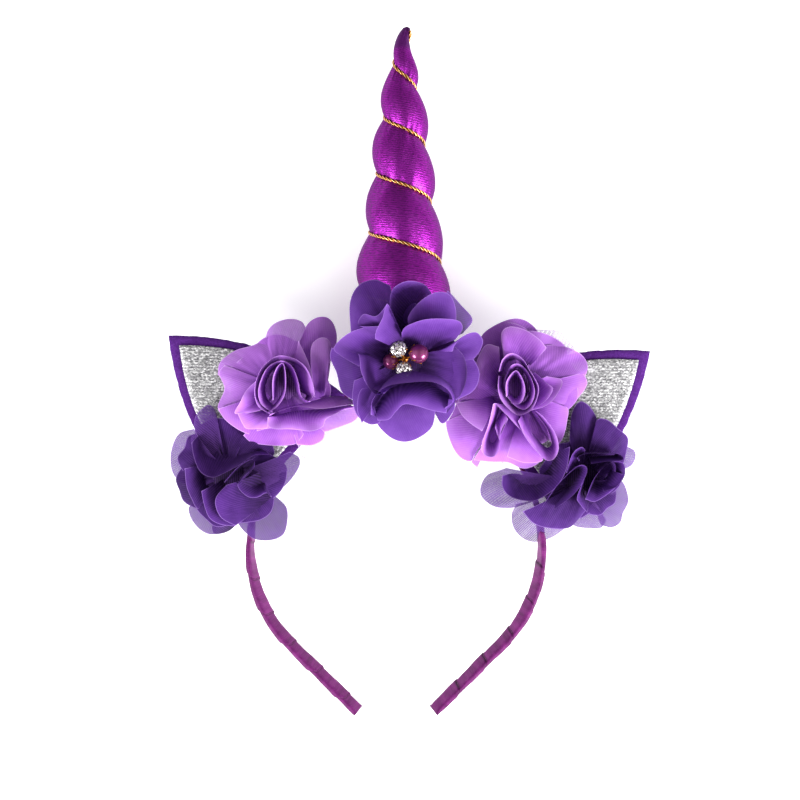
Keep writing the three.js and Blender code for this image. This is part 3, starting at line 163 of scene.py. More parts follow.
ROSE_LEFT_PETALS = [
    {"rim": [(-0.23, 0.45, 0.1), (-0.23, 0.73, 0.05), (-0.15, 0.89, 0.02), (0.02, 0.98, 0), (0.22, 0.99, 0),
             (0.35, 0.9, 0.02), (0.38, 0.64, 0.08)], "belly": 0.1, "sheer": 0.3},
    {"rim": [(0.31, 0.57, 0.06), (0.36, 0.87, 0.04), (0.51, 1.01, 0.02), (0.68, 1.02, 0), (0.79, 0.9, 0),
             (0.83, 0.68, 0), (0.76, 0.38, 0.05)], "belly": 0.1},
    {"rim": [(-0.16, 0.73, 0.05), (-0.44, 0.6, 0.02), (-0.69, 0.52, 0), (-0.91, 0.35, 0), (-0.95, 0.15, 0)], "belly": 0.1, "sheer": 0.3},
    {"rim": [(-0.85, 0.31, 0.02), (-0.93, 0.18, 0), (-0.85, -0.05, 0), (-0.95, -0.33, 0),
             (-0.8, -0.42, 0.02)], "belly": 0.1, "sheer": 0.45},
    {"rim": [(-0.95, -0.35, 0.06), (-0.83, -0.52, 0.05), (-0.62, -0.67, 0.03), (-0.38, -0.75, 0.03),
             (-0.16, -0.7, 0.05)], "belly": 0.08},
    {"rim": [(-0.57, -0.75, 0.02), (-0.44, -0.86, 0), (-0.16, -0.9, 0), (0.16, -0.89, 0),
             (0.31, -0.81, 0.04), (0.25, -0.67, 0.1)], "belly": 0.1},
    {"rim": [(0.23, -0.89, 0), (0.46, -0.9, -0.02), (0.62, -0.81, -0.02), (0.65, -0.65, 0.02)], "belly": 0.08},
    {"rim": [(0.64, -0.7, 0), (0.85, -0.63, -0.02), (1.1, -0.53, -0.04), (1.17, -0.35, 0),
             (0.94, -0.28, 0.05)], "belly": 0.08, "sheer": 0.4},
    {"root": [(-0.21, -0.01, 0.1), (-0.25, -0.14, 0.08), (-0.16, -0.24, 0.08)],
     "rim": [(-0.34, 0.13, 0.36), (-0.51, -0.03, 0.34), (-0.62, -0.24, 0.3), (-0.69, -0.39, 0.28),
             (-0.51, -0.39, 0.28), (-0.32, -0.35, 0.3)], "belly": 0.05},
    {"root": [(-0.34, -0.33, 0.1), (-0.11, -0.35, 0.1)],
     "rim": [(-0.65, -0.39, 0.24), (-0.57, -0.56, 0.24), (-0.49, -0.63, 0.22), (-0.21, -0.62, 0.24)], "belly": 0.05},
    {"root": [(-0.21, -0.42, 0.06), (0.02, -0.42, 0.08), (0.21, -0.47, 0.08)],
     "rim": [(-0.37, -0.67, 0.14), (-0.16, -0.62, 0.2), (0.21, -0.61, 0.22), (0.33, -0.7, 0.16),
             (0.26, -0.82, 0.1)], "belly": 0.05},
    {"root": [(0.48, -0.18, 0.12), (0.57, -0.17, 0.1), (0.63, -0.14, 0.12)],
     "rim": [(0.45, 0.18, 0.36), (0.45, 0.61, 0.34), (0.6, 0.75, 0.3), (0.74, 0.65, 0.26),
             (0.72, 0.22, 0.26), (0.65, -0.11, 0.28)], "belly": 0.1},
    {"root": [(0.18, 0.18, 0.1), (0.25, 0.04, 0.1), (0.32, -0.1, 0.1)],
     "rim": [(0.26, 0.7, 0.26), (0.37, 0.48, 0.36), (0.45, 0.27, 0.42), (0.49, 0.02, 0.4),
             (0.51, -0.14, 0.3)], "belly": 0.05},
    {"root": [(-0.21, -0.47, 0.25), (0.02, -0.31, 0.3), (0.39, -0.22, 0.32), (0.69, -0.14, 0.28),
              (0.94, -0.14, 0.2), (1.12, -0.24, 0.1)],
     "rim": [(-0.16, -0.39, 0.34), (0, -0.33, 0.44), (0.25, -0.26, 0.5), (0.6, -0.3, 0.46),
             (0.9, -0.26, 0.36), (1.11, -0.26, 0.2)], "fine": 1},
    {"root": [(-0.07, -0.42, 0.18), (0.16, -0.37, 0.14), (0.39, -0.35, 0.1), (0.71, -0.33, 0.06),
              (1.03, -0.28, 0.04)],
     "rim": [(-0.2, -0.44, 0.34), (-0.17, -0.59, 0.34), (0.14, -0.62, 0.3), (0.45, -0.65, 0.26),
             (0.62, -0.59, 0.24), (0.68, -0.47, 0.22), (0.9, -0.36, 0.16), (1.12, -0.32, 0.08)], "belly": 0.04},
    {"root": [(-0.11, -0.33, 0.1), (-0.23, -0.21, 0.1), (-0.27, -0.01, 0.1), (-0.2, 0.22, 0.1),
              (-0.02, 0.37, 0.1), (0.16, 0.35, 0.1), (0.29, 0.22, 0.1), (0.36, 0.04, 0.1),
              (0.37, -0.14, 0.1), (0.32, -0.21, 0.1)],
     "rim": [(-0.17, -0.38, 0.42), (-0.34, -0.25, 0.48), (-0.39, -0.01, 0.52), (-0.3, 0.29, 0.54),
             (-0.07, 0.49, 0.52), (0.17, 0.47, 0.5), (0.36, 0.34, 0.48), (0.46, 0.13, 0.44),
             (0.49, -0.1, 0.38), (0.39, -0.22, 0.3)], "fine": 1},
    {"root": [(-0.1, -0.28, 0.12), (-0.21, -0.17, 0.12), (-0.23, 0.02, 0.12), (-0.14, 0.22, 0.12),
              (0, 0.34, 0.12), (0.11, 0.25, 0.12), (0.18, 0.06, 0.12), (0.25, -0.14, 0.12),
              (0.34, -0.24, 0.1)],
     "rim": [(-0.13, -0.36, 0.4), (-0.3, -0.21, 0.48), (-0.33, 0.02, 0.52), (-0.21, 0.31, 0.55),
             (0, 0.43, 0.55), (0.17, 0.34, 0.52), (0.26, 0.11, 0.46), (0.31, -0.12, 0.4),
             (0.45, -0.21, 0.28)], "fine": 1},
    {"root": [(-0.07, -0.14, 0.15), (-0.06, 0.11, 0.15), (-0.01, 0.25, 0.15), (0.02, 0.29, 0.15),
              (0.03, 0.15, 0.15), (0.02, -0.05, 0.15), (-0.06, -0.21, 0.15), (-0.16, -0.31, 0.15)],
     "rim": [(-0.12, -0.17, 0.5), (-0.12, 0.15, 0.56), (-0.05, 0.34, 0.58), (0.04, 0.39, 0.58),
             (0.08, 0.18, 0.55), (0.06, -0.08, 0.5), (-0.05, -0.26, 0.46), (-0.2, -0.36, 0.42)], "fine": 1},
]
ROSE_LEFT_VEIL = [
    {"rim": [(0.25, -0.88, -0.04), (0.32, -1.1, -0.08), (0.62, -1.1, -0.1), (0.94, -0.93, -0.1),
             (1.19, -0.65, -0.1), (1.26, -0.51, -0.08), (1.08, -0.33, -0.04)], "belly": 0.04},
]
ROSE_RIGHT_PETALS = [
    {"rim": [(-0.58, 0.6, 0.06), (-0.49, 0.8, 0.04), (-0.26, 0.95, 0.02), (-0.03, 1.02, 0), (0.17, 0.97, 0),
             (0.33, 0.8, 0.02), (0.31, 0.57, 0.08)], "belly": 0.08},
    {"rim": [(0.31, 0.6, 0.12), (0.54, 0.63, 0.08), (0.8, 0.58, 0.04), (0.99, 0.46, 0), (1.07, 0.29, 0),
             (1, 0.09, 0.02)], "belly": 0.1, "sheer": 0.3},
    {"rim": [(1, 0.21, 0.04), (1.06, 0.05, 0), (0.96, -0.13, 0), (0.8, -0.26, 0.04), (0.45, -0.26, 0.1)], "belly": 0.1, "sheer": 0.2},
    {"rim": [(0.43, -0.25, 0.12), (0.75, -0.3, 0.1), (0.76, -0.51, 0.08), (0.69, -0.78, 0.06),
             (0.57, -0.91, 0.04)], "belly": 0.1},
    {"rim": [(0.38, -1.1, 0.06), (0.27, -1.19, 0.02), (0.1, -1.23, 0), (-0.12, -1.14, 0), (-0.37, -1.13, 0),
             (-0.64, -1.1, 0.02)], "belly": 0.16},
    {"rim": [(-0.51, -0.85, 0.1), (-0.62, -1.01, 0.04), (-0.68, -1.12, 0), (-0.83, -1.07, 0),
             (-0.95, -0.9, 0), (-1.03, -0.67, 0), (-1.05, -0.52, 0.02)], "belly": 0.1},
    {"rim": [(-1.05, -0.57, 0.02), (-0.95, -0.39, 0.04), (-0.88, -0.21, 0.08), (-0.81, -0.07, 0.12)], "belly": 0.08},
    {"rim": [(-0.58, -1.22, -0.06), (-0.66, -1.12, -0.04), (-0.47, -1.03, 0), (-0.19, -1.15, -0.04)], "belly": 0.02, "sheer": 0.2},
    {"root": [(-0.1, 0.39, 0.12), (0.04, 0.41, 0.1), (0.18, 0.3, 0.1)],
     "rim": [(-0.19, 0.48, 0.34), (-0.23, 0.8, 0.26), (-0.11, 0.92, 0.22), (0.13, 0.87, 0.2),
             (0.34, 0.73, 0.18), (0.45, 0.6, 0.18)], "belly": 0.08},
    {"root": [(-0.28, -0.11, 0.08), (-0.28, 0.07, 0.08), (-0.24, 0.25, 0.1)],
     "rim": [(-0.88, -0.23, 0.1), (-0.81, -0.06, 0.16), (-0.67, 0.2, 0.22), (-0.55, 0.51, 0.22),
             (-0.44, 0.65, 0.2), (-0.26, 0.62, 0.22)], "belly": 0.1},
    {"root": [(-0.37, -0.11, 0.1), (-0.31, -0.21, 0.1)],
     "rim": [(-0.9, -0.23, 0.14), (-0.81, -0.41, 0.18), (-0.67, -0.54, 0.2), (-0.51, -0.64, 0.24)], "belly": 0.08},
    {"root": [(0.13, -0.23, 0.1), (0.2, -0.07, 0.1), (0.2, 0.11, 0.1)],
     "rim": [(0.22, -0.32, 0.3), (0.43, -0.18, 0.34), (0.54, 0, 0.36), (0.45, 0.09, 0.34), (0.27, 0.25, 0.3)], "belly": -0.04},
    {"root": [(0.13, -0.25, 0.06), (0.22, -0.11, 0.06), (0.22, 0.07, 0.06)],
     "rim": [(0.22, -0.33, 0.24), (0.43, -0.26, 0.28), (0.59, -0.11, 0.26), (0.68, 0.11, 0.2),
             (0.45, 0.18, 0.2)], "belly": 0.04},
    {"root": [(-0.14, -0.25, 0.12), (-0.01, -0.32, 0.1), (0.04, -0.39, 0.08)],
     "rim": [(-0.33, -0.2, 0.42), (-0.12, -0.41, 0.42), (0.13, -0.69, 0.38), (0.34, -0.96, 0.3),
             (0.38, -1.09, 0.24), (0.13, -1.12, 0.18), (-0.14, -1.03, 0.14)], "belly": 0.06},
    {"root": [(-0.24, -0.21, 0.14), (-0.28, -0.41, 0.1), (-0.36, -0.67, 0.06), (-0.37, -0.78, 0.05),
              (-0.33, -0.78, 0.05), (-0.27, -0.67, 0.06), (-0.21, -0.53, 0.08), (-0.14, -0.34, 0.12)],
     "rim": [(-0.35, -0.2, 0.52), (-0.42, -0.51, 0.5), (-0.52, -0.81, 0.42), (-0.49, -0.97, 0.36),
             (-0.35, -1.01, 0.34), (-0.26, -0.9, 0.36), (-0.24, -0.71, 0.38), (-0.13, -0.45, 0.4)], "fine": 1},
    {"root": [(-0.31, -0.48, 0.2), (-0.19, -0.34, 0.2)],
     "rim": [(-0.32, -0.58, 0.34), (-0.25, -0.76, 0.34), (-0.23, -0.62, 0.36), (-0.13, -0.44, 0.36)], "belly": 0.02},
    {"root": [(0.08, -0.41, 0.12), (0.2, -0.62, 0.08), (0.34, -0.8, 0.05), (0.45, -0.9, 0.04),
              (0.52, -0.87, 0.04), (0.52, -0.78, 0.05), (0.45, -0.6, 0.07), (0.34, -0.44, 0.1),
              (0.25, -0.33, 0.12)],
     "rim": [(0.02, -0.47, 0.4), (0.13, -0.71, 0.4), (0.31, -0.94, 0.34), (0.45, -1.07, 0.28),
             (0.57, -1.04, 0.26), (0.63, -0.87, 0.3), (0.57, -0.64, 0.34), (0.43, -0.44, 0.38),
             (0.31, -0.33, 0.4)], "fine": 1},
    {"root": [(-0.19, 0.18, 0.1), (-0.19, 0.02, 0.1), (-0.14, -0.11, 0.1), (-0.05, -0.23, 0.1),
              (0.06, -0.29, 0.1), (0.18, -0.23, 0.1), (0.23, -0.09, 0.1), (0.23, 0.05, 0.1),
              (0.15, 0.23, 0.1), (0.06, 0.38, 0.1), (-0.05, 0.44, 0.1), (-0.14, 0.38, 0.1),
              (-0.19, 0.25, 0.1)],
     "rim": [(-0.27, 0.21, 0.44), (-0.28, 0.02, 0.46), (-0.23, -0.15, 0.46), (-0.1, -0.3, 0.44),
             (0.04, -0.38, 0.42), (0.22, -0.3, 0.42), (0.31, -0.11, 0.42), (0.32, 0.07, 0.44),
             (0.2, 0.29, 0.48), (0.08, 0.48, 0.52), (-0.08, 0.56, 0.54), (-0.21, 0.47, 0.52),
             (-0.27, 0.28, 0.48)], "fine": 1},
    {"root": [(-0.12, 0, 0.12), (-0.11, 0.16, 0.12), (-0.05, 0.28, 0.12), (0.05, 0.29, 0.12),
              (0.15, 0.16, 0.12), (0.2, -0.02, 0.12), (0.17, -0.16, 0.12), (0.08, -0.22, 0.12),
              (-0.01, -0.16, 0.12), (-0.09, -0.08, 0.12)],
     "rim": [(-0.17, -0.02, 0.4), (-0.17, 0.18, 0.44), (-0.08, 0.37, 0.48), (0.06, 0.38, 0.48),
             (0.2, 0.21, 0.44), (0.27, -0.02, 0.42), (0.22, -0.21, 0.4), (0.1, -0.3, 0.38),
             (-0.04, -0.23, 0.36), (-0.14, -0.11, 0.36)], "fine": 1},
    {"root": [(-0.1, -0.07, 0.15), (-0.1, 0.09, 0.15), (-0.04, 0.18, 0.15), (0, 0.2, 0.15),
              (0.06, 0.09, 0.15), (0.06, -0.05, 0.15), (0.01, -0.14, 0.15), (-0.06, -0.15, 0.15)],
     "rim": [(-0.16, -0.11, 0.44), (-0.16, 0.11, 0.48), (-0.08, 0.25, 0.5), (0.01, 0.29, 0.5),
             (0.11, 0.11, 0.48), (0.12, -0.07, 0.44), (0.04, -0.21, 0.4), (-0.09, -0.2, 0.38)], "fine": 1},
]
ROSE_RIGHT_VEIL = [
    {"rim": [(0.22, 0.85, -0.04), (0.41, 0.84, -0.06), (0.64, 0.82, -0.06), (0.76, 0.7, -0.06),
             (0.88, 0.56, -0.06)], "belly": 0.04},
]
SIDE_LEFT_PETALS = [
    {"rim": [(-0.52, 0.46, 0.1), (-0.53, 0.83, 0.05), (-0.41, 0.99, 0.02), (-0.3, 1.03, 0.02),
             (-0.21, 0.92, 0.05), (-0.16, 0.62, 0.1)], "belly": 0.08, "sheer": 0.5},
    {"rim": [(-0.55, 0.67, 0.02), (-0.8, 0.56, -0.1), (-0.93, 0.26, -0.25), (-0.93, -0.01, -0.3),
             (-0.82, -0.16, -0.25), (-0.57, -0.25, -0.1)], "belly": 0.16, "sheer": 0.5},
    {"rim": [(-0.53, -0.43, -0.1), (-0.67, -0.59, -0.25), (-0.63, -0.83, -0.42), (-0.48, -0.99, -0.5),
             (-0.29, -1, -0.4), (-0.21, -0.8, -0.2)], "belly": 0.2, "sheer": 0.35},
    {"rim": [(-0.32, -0.89, -0.2), (-0.29, -1, -0.35), (-0.09, -0.96, -0.4), (0.06, -0.81, -0.3),
             (0.09, -0.64, -0.1)], "belly": 0.2},
    {"rim": [(0.07, -0.71, -0.05), (0.17, -0.89, -0.14), (0.34, -1.03, -0.2), (0.57, -1.05, -0.24),
             (0.76, -0.96, -0.24), (0.83, -0.75, -0.2), (0.82, -0.52, -0.14), (0.67, -0.34, -0.04)], "belly": 0.16, "sheer": 0.2},
    {"rim": [(0.62, -0.34, 0.02), (0.87, -0.12, -0.04), (1.02, 0.1, -0.06), (1.03, 0.25, -0.06),
             (0.9, 0.35, 0)], "belly": 0.1, "sheer": 0.35},
    {"root": [(-0.39, 0.17, 0.04), (-0.34, -0.06, 0), (-0.21, -0.23, 0)],
     "rim": [(-0.67, 0.1, 0.16), (-0.64, -0.18, 0.18), (-0.56, -0.39, 0.16), (-0.48, -0.52, 0.12),
             (-0.38, -0.41, 0.14)], "belly": 0.1},
    {"root": [(-0.32, 0.72, 0.02), (-0.16, 0.67, 0.02), (0.07, 0.46, 0.04), (0.3, 0.39, 0.06),
              (0.44, 0.39, 0.08)],
     "rim": [(-0.55, 0.51, 0.26), (-0.51, 0.28, 0.32), (-0.41, 0.09, 0.36), (-0.23, 0.01, 0.38),
             (-0.05, 0.07, 0.38), (0.21, 0.22, 0.38), (0.39, 0.34, 0.34), (0.62, 0.35, 0.28)], "belly": -0.14},
    {"root": [(-0.09, -0.06, 0.06), (0, -0.29, 0.04), (0.16, -0.48, 0.04)],
     "rim": [(-0.39, -0.2, 0.36), (-0.35, -0.43, 0.34), (-0.28, -0.63, 0.28), (-0.13, -0.73, 0.22),
             (0.08, -0.77, 0.16)], "belly": 0.08},
    {"root": [(0.44, 0.05, 0.08), (0.53, -0.16, 0.06), (0.62, -0.34, 0.04)],
     "rim": [(0, -0.09, 0.42), (-0.15, -0.26, 0.44), (-0.17, -0.42, 0.42), (-0.09, -0.61, 0.34),
             (0.11, -0.74, 0.24)], "belly": 0.12},
    {"root": [(0.02, -0.06, 0.1), (0.18, 0.12, 0.1), (0.32, 0.22, 0.1), (0.37, 0.22, 0.1), (0.34, 0.18, 0.1),
              (0.24, 0.07, 0.1), (0.16, -0.04, 0.1)],
     "rim": [(-0.04, -0.05, 0.44), (0.16, 0.18, 0.48), (0.34, 0.3, 0.46), (0.42, 0.28, 0.44),
             (0.41, 0.18, 0.44), (0.28, 0.07, 0.46), (0.17, -0.08, 0.46)], "fine": 1},
    {"root": [(0.34, 0.1, 0.1), (0.34, -0.02, 0.1), (0.44, -0.11, 0.08), (0.53, -0.11, 0.06)],
     "rim": [(0.21, 0.02, 0.4), (0.16, -0.09, 0.42), (0.21, -0.2, 0.38), (0.33, -0.29, 0.3),
             (0.45, -0.29, 0.26), (0.58, -0.23, 0.24), (0.63, -0.32, 0.18)], "belly": 0.06},
]
SIDE_RIGHT_PETALS = [
    {"rim": [(-0.18, 0.61, 0.12), (-0.14, 1, 0.08), (-0.02, 1.18, 0.05), (0.13, 1.1, 0.04),
             (0.25, 0.88, 0.06), (0.23, 0.61, 0.12)], "belly": 0.06},
    {"rim": [(0.17, 0.65, 0.12), (0.23, 0.9, 0.1), (0.39, 0.9, 0.08), (0.56, 0.76, 0.06), (0.71, 0.61, 0.04),
             (0.69, 0.38, 0.02), (0.62, 0.14, 0.05)], "belly": 0.08},
    {"rim": [(0.62, 0.51, 0), (0.81, 0.41, -0.08), (0.84, 0.28, -0.1), (0.76, 0.15, -0.1), (0.56, 0.1, 0)], "belly": 0.08, "sheer": 0.5},
    {"rim": [(0.49, 0.01, 0.02), (0.66, -0.09, -0.1), (0.76, -0.38, -0.25), (0.69, -0.6, -0.32),
             (0.66, -0.74, -0.36), (0.53, -0.82, -0.36), (0.35, -0.77, -0.28)], "belly": 0.18, "sheer": 0.35},
    {"rim": [(0.42, -0.68, -0.2), (0.36, -0.82, -0.35), (0.17, -0.84, -0.45), (-0.02, -0.8, -0.42),
             (-0.12, -0.69, -0.3)], "belly": 0.2, "sheer": 0.5},
    {"rim": [(-0.11, -0.68, -0.2), (-0.2, -0.83, -0.35), (-0.39, -0.98, -0.45), (-0.62, -1.05, -0.5),
             (-0.81, -0.98, -0.48), (-0.95, -0.81, -0.42), (-0.99, -0.59, -0.35), (-0.94, -0.4, -0.2)], "belly": 0.2, "sheer": 0.6},
    {"rim": [(-0.84, -0.38, -0.04), (-1.05, -0.44, -0.08), (-1.3, -0.41, -0.12), (-1.47, -0.27, -0.14),
             (-1.48, -0.09, -0.14), (-1.37, 0.08, -0.08), (-1.12, 0.19, 0)], "belly": 0.08, "sheer": 0.5},
    {"rim": [(-0.88, -0.47, 0.02), (-0.71, -0.66, -0.02), (-0.48, -0.75, -0.06), (-0.17, -0.76, -0.08),
             (-0.01, -0.6, -0.02), (0.08, -0.46, 0.05)], "belly": 0.14},
    {"root": [(-0.94, 0.1, 0), (-0.8, 0.06, 0), (-0.62, 0.06, 0.02), (-0.48, 0.19, 0.04),
              (-0.39, 0.38, 0.06)],
     "rim": [(-1.2, 0.1, 0.14), (-1.2, -0.06, 0.16), (-1.1, -0.2, 0.18), (-0.88, -0.27, 0.2),
             (-0.66, -0.26, 0.22), (-0.39, -0.06, 0.24), (-0.25, 0.19, 0.26), (-0.19, 0.54, 0.26)], "belly": -0.06},
    {"root": [(-0.5, -0.29, 0.06), (-0.32, -0.04, 0.08), (-0.11, 0.16, 0.1), (-0.04, 0.17, 0.1),
              (-0.05, 0.1, 0.1), (-0.18, -0.11, 0.08), (-0.39, -0.31, 0.06)],
     "rim": [(-0.62, -0.36, 0.28), (-0.39, 0, 0.36), (-0.11, 0.27, 0.42), (0.03, 0.26, 0.42),
             (0.02, 0.11, 0.4), (-0.13, -0.15, 0.34), (-0.43, -0.41, 0.26)], "fine": 1},
    {"root": [(0.12, -0.2, 0.1), (0.21, 0.03, 0.08), (0.33, 0.19, 0.08), (0.44, 0.25, 0.08),
              (0.51, 0.23, 0.08), (0.51, 0.11, 0.08), (0.42, 0.01, 0.08), (0.28, -0.06, 0.1)],
     "rim": [(0.03, -0.24, 0.34), (0.13, 0.06, 0.42), (0.28, 0.26, 0.46), (0.45, 0.34, 0.46),
             (0.59, 0.3, 0.42), (0.61, 0.11, 0.38), (0.49, -0.06, 0.36), (0.3, -0.13, 0.34)], "fine": 1},
    {"root": [(0.07, -0.08, 0.1), (0.23, -0.06, 0.06), (0.35, 0.01, 0.06), (0.44, 0.15, 0.08)],
     "rim": [(0.03, -0.25, 0.3), (0.18, -0.3, 0.24), (0.35, -0.2, 0.26), (0.51, -0.05, 0.28),
             (0.61, 0.12, 0.3)], "belly": 0.06},
    {"root": [(-0.02, 0.33, 0.1), (-0.04, 0.39, 0.1), (0.07, 0.42, 0.1), (0.3, 0.42, 0.1), (0.46, 0.41, 0.1),
              (0.49, 0.38, 0.1), (0.3, 0.37, 0.1), (0.12, 0.34, 0.1)],
     "rim": [(-0.08, 0.35, 0.42), (-0.11, 0.41, 0.42), (0.04, 0.47, 0.44), (0.3, 0.46, 0.42),
             (0.53, 0.44, 0.38), (0.58, 0.35, 0.36), (0.35, 0.34, 0.4), (0.1, 0.31, 0.42)], "fine": 1},
    {"root": [(-0.11, 0.19, 0.12), (-0.06, 0.35, 0.12), (0, 0.42, 0.14)],
     "rim": [(-0.27, 0.17, 0.34), (-0.17, 0.47, 0.38), (-0.05, 0.56, 0.36), (0.02, 0.51, 0.34)], "belly": 0.04},
    {"root": [(0.05, 0.06, 0.1), (0.03, -0.15, 0.06), (0.12, -0.31, 0.04)],
     "rim": [(-0.01, 0.08, 0.4), (-0.1, -0.2, 0.34), (-0.06, -0.31, 0.28), (0.07, -0.47, 0.18)], "belly": 0.04},
]

# Frames


def leg_tip():
    inset = BAND_HALF_WIDTH - SHOULDER_RADIUS
    knee_x = inset + SHOULDER_RADIUS * math.cos(SHOULDER_TURN)
    knee_y = -SHOULDER_RADIUS * math.sin(SHOULDER_TURN)
    return knee_x - LEG_LENGTH * math.sin(SHOULDER_TURN), knee_y - LEG_LENGTH * math.cos(SHOULDER_TURN)


horn_axis_height = max(
    h * HORN_LENGTH * math.sin(HORN_LEAN) + r * HORN_RADIUS * math.cos(HORN_LEAN) for h, r in HORN_PROFILE
) - HORN_FLAT
tip_reach = BAND_THICKNESS / 2 + (BAND_WIDTH / 2 - BAND_THICKNESS / 2) * math.cos(LEG_TWIST)
tilt = math.asin((horn_axis_height - HORN_FORWARD - tip_reach) / (ARCH_HEIGHT - leg_tip()[1]))
band_frame = Matrix.Translation((0, 0, tip_reach - leg_tip()[1] * math.sin(tilt))) @ Matrix.Rotation(tilt, 4, "X")


def ear_frame(side, level):
    x, y, turn = EARS[side]
    place = Matrix.Translation((x * BAND_HALF_WIDTH, y * ARCH_HEIGHT, level))
    return band_frame @ place @ Matrix.Rotation(turn, 4, "Z")


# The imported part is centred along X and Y. The corners of an ear give the shift from the band's own frame.
corners = [ear_frame("left", FELT_BACK) @ Vector(c) for c in (
    (0, EAR_HEIGHT, 0), (-EAR_WIDTH / 2, 0, 0), (EAR_WIDTH / 2, 0, 0),
    (0, EAR_HEIGHT, FELT_THICKNESS), (-EAR_WIDTH / 2, 0, FELT_THICKNESS), (EAR_WIDTH / 2, 0, FELT_THICKNESS))]
ear_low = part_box("ear_felt_left")[0]
shift = Matrix.Translation((ear_low[0] / MM - min(c.x for c in corners), ear_low[1] / MM - min(c.y for c in corners), 0))
band_frame = shift @ band_frame
horn_frame = (
    shift
    @ Matrix.Translation((HORN_OFFSET, ARCH_HEIGHT * math.cos(tilt) + HORN_LIFT, horn_axis_height))
    @ Matrix.Rotation(-math.pi / 2 - HORN_LEAN, 4, "X")
)

# Meshes


def placed(points, matrix):
    """Points of a frame in millimetres, as an array, in metres in the row frame."""
    m = np.array(matrix)
    return (np.asarray(points, dtype=float).reshape(-1, 3) @ m[:3, :3].T + m[:3, 3]) * MM


def grid_faces(rows, columns, start=0, wrap=False):
    """Quads of a grid of points stored row by row. With wrap, each row closes on itself."""
    i = np.arange(rows - 1)[:, None]
    j = np.arange(columns if wrap else columns - 1)[None, :]
    k = (j + 1) % columns
    quads = np.stack([i * columns + j, i * columns + k, (i + 1) * columns + k, (i + 1) * columns + j], axis=-1)
    return quads.reshape(-1, 4) + start


def dressed(node, name, points, faces, material, flat, values=None, smooth=True):
    """A mesh that takes the place of a CAD node. flat and values hold coordinates and named numbers per point."""
    mesh = bpy.data.meshes.new(name)
    mesh.from_pydata([tuple(p) for p in points], [], [tuple(int(i) for i in f) for f in faces])
    mesh.polygons.foreach_set("use_smooth", [smooth] * len(mesh.polygons))
    layer = mesh.uv_layers.new(name="flat")
    loops = np.empty(len(mesh.loops), dtype=int)
    mesh.loops.foreach_get("vertex_index", loops)
    layer.data.foreach_set("uv", np.asarray(flat, dtype=float)[loops].ravel())
    for key, column in (values or {}).items():
        attribute = mesh.attributes.new(key, "FLOAT", "POINT")
        attribute.data.foreach_set("value", np.asarray(column, dtype=float).ravel())
    mesh.materials.append(material)
    mesh.update()
    piece = bpy.data.objects.new(name, mesh)
    bpy.context.collection.objects.link(piece)
    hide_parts(node)
    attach(piece, "root")
    return piece


def smooth_step(x, low, high):
    t = np.clip((x - low) / (high - low), 0, 1)
    return t * t * (3 - 2 * t)


def waves(x, y, seed, size, count=5):
    """A smooth random field, mostly from -1 to 1, with features of about that size."""
    rng = random.Random(seed)
    total = 0
    for _ in range(count):
        turn = rng.uniform(0, 2 * math.pi)
        rate = 2 * math.pi / (size * rng.uniform(0.7, 1.6))
        total = total + np.sin(rate * (x * math.cos(turn) + y * math.sin(turn)) + rng.uniform(0, 6.3))
    return total / count ** 0.5 / 1.4


# Materials


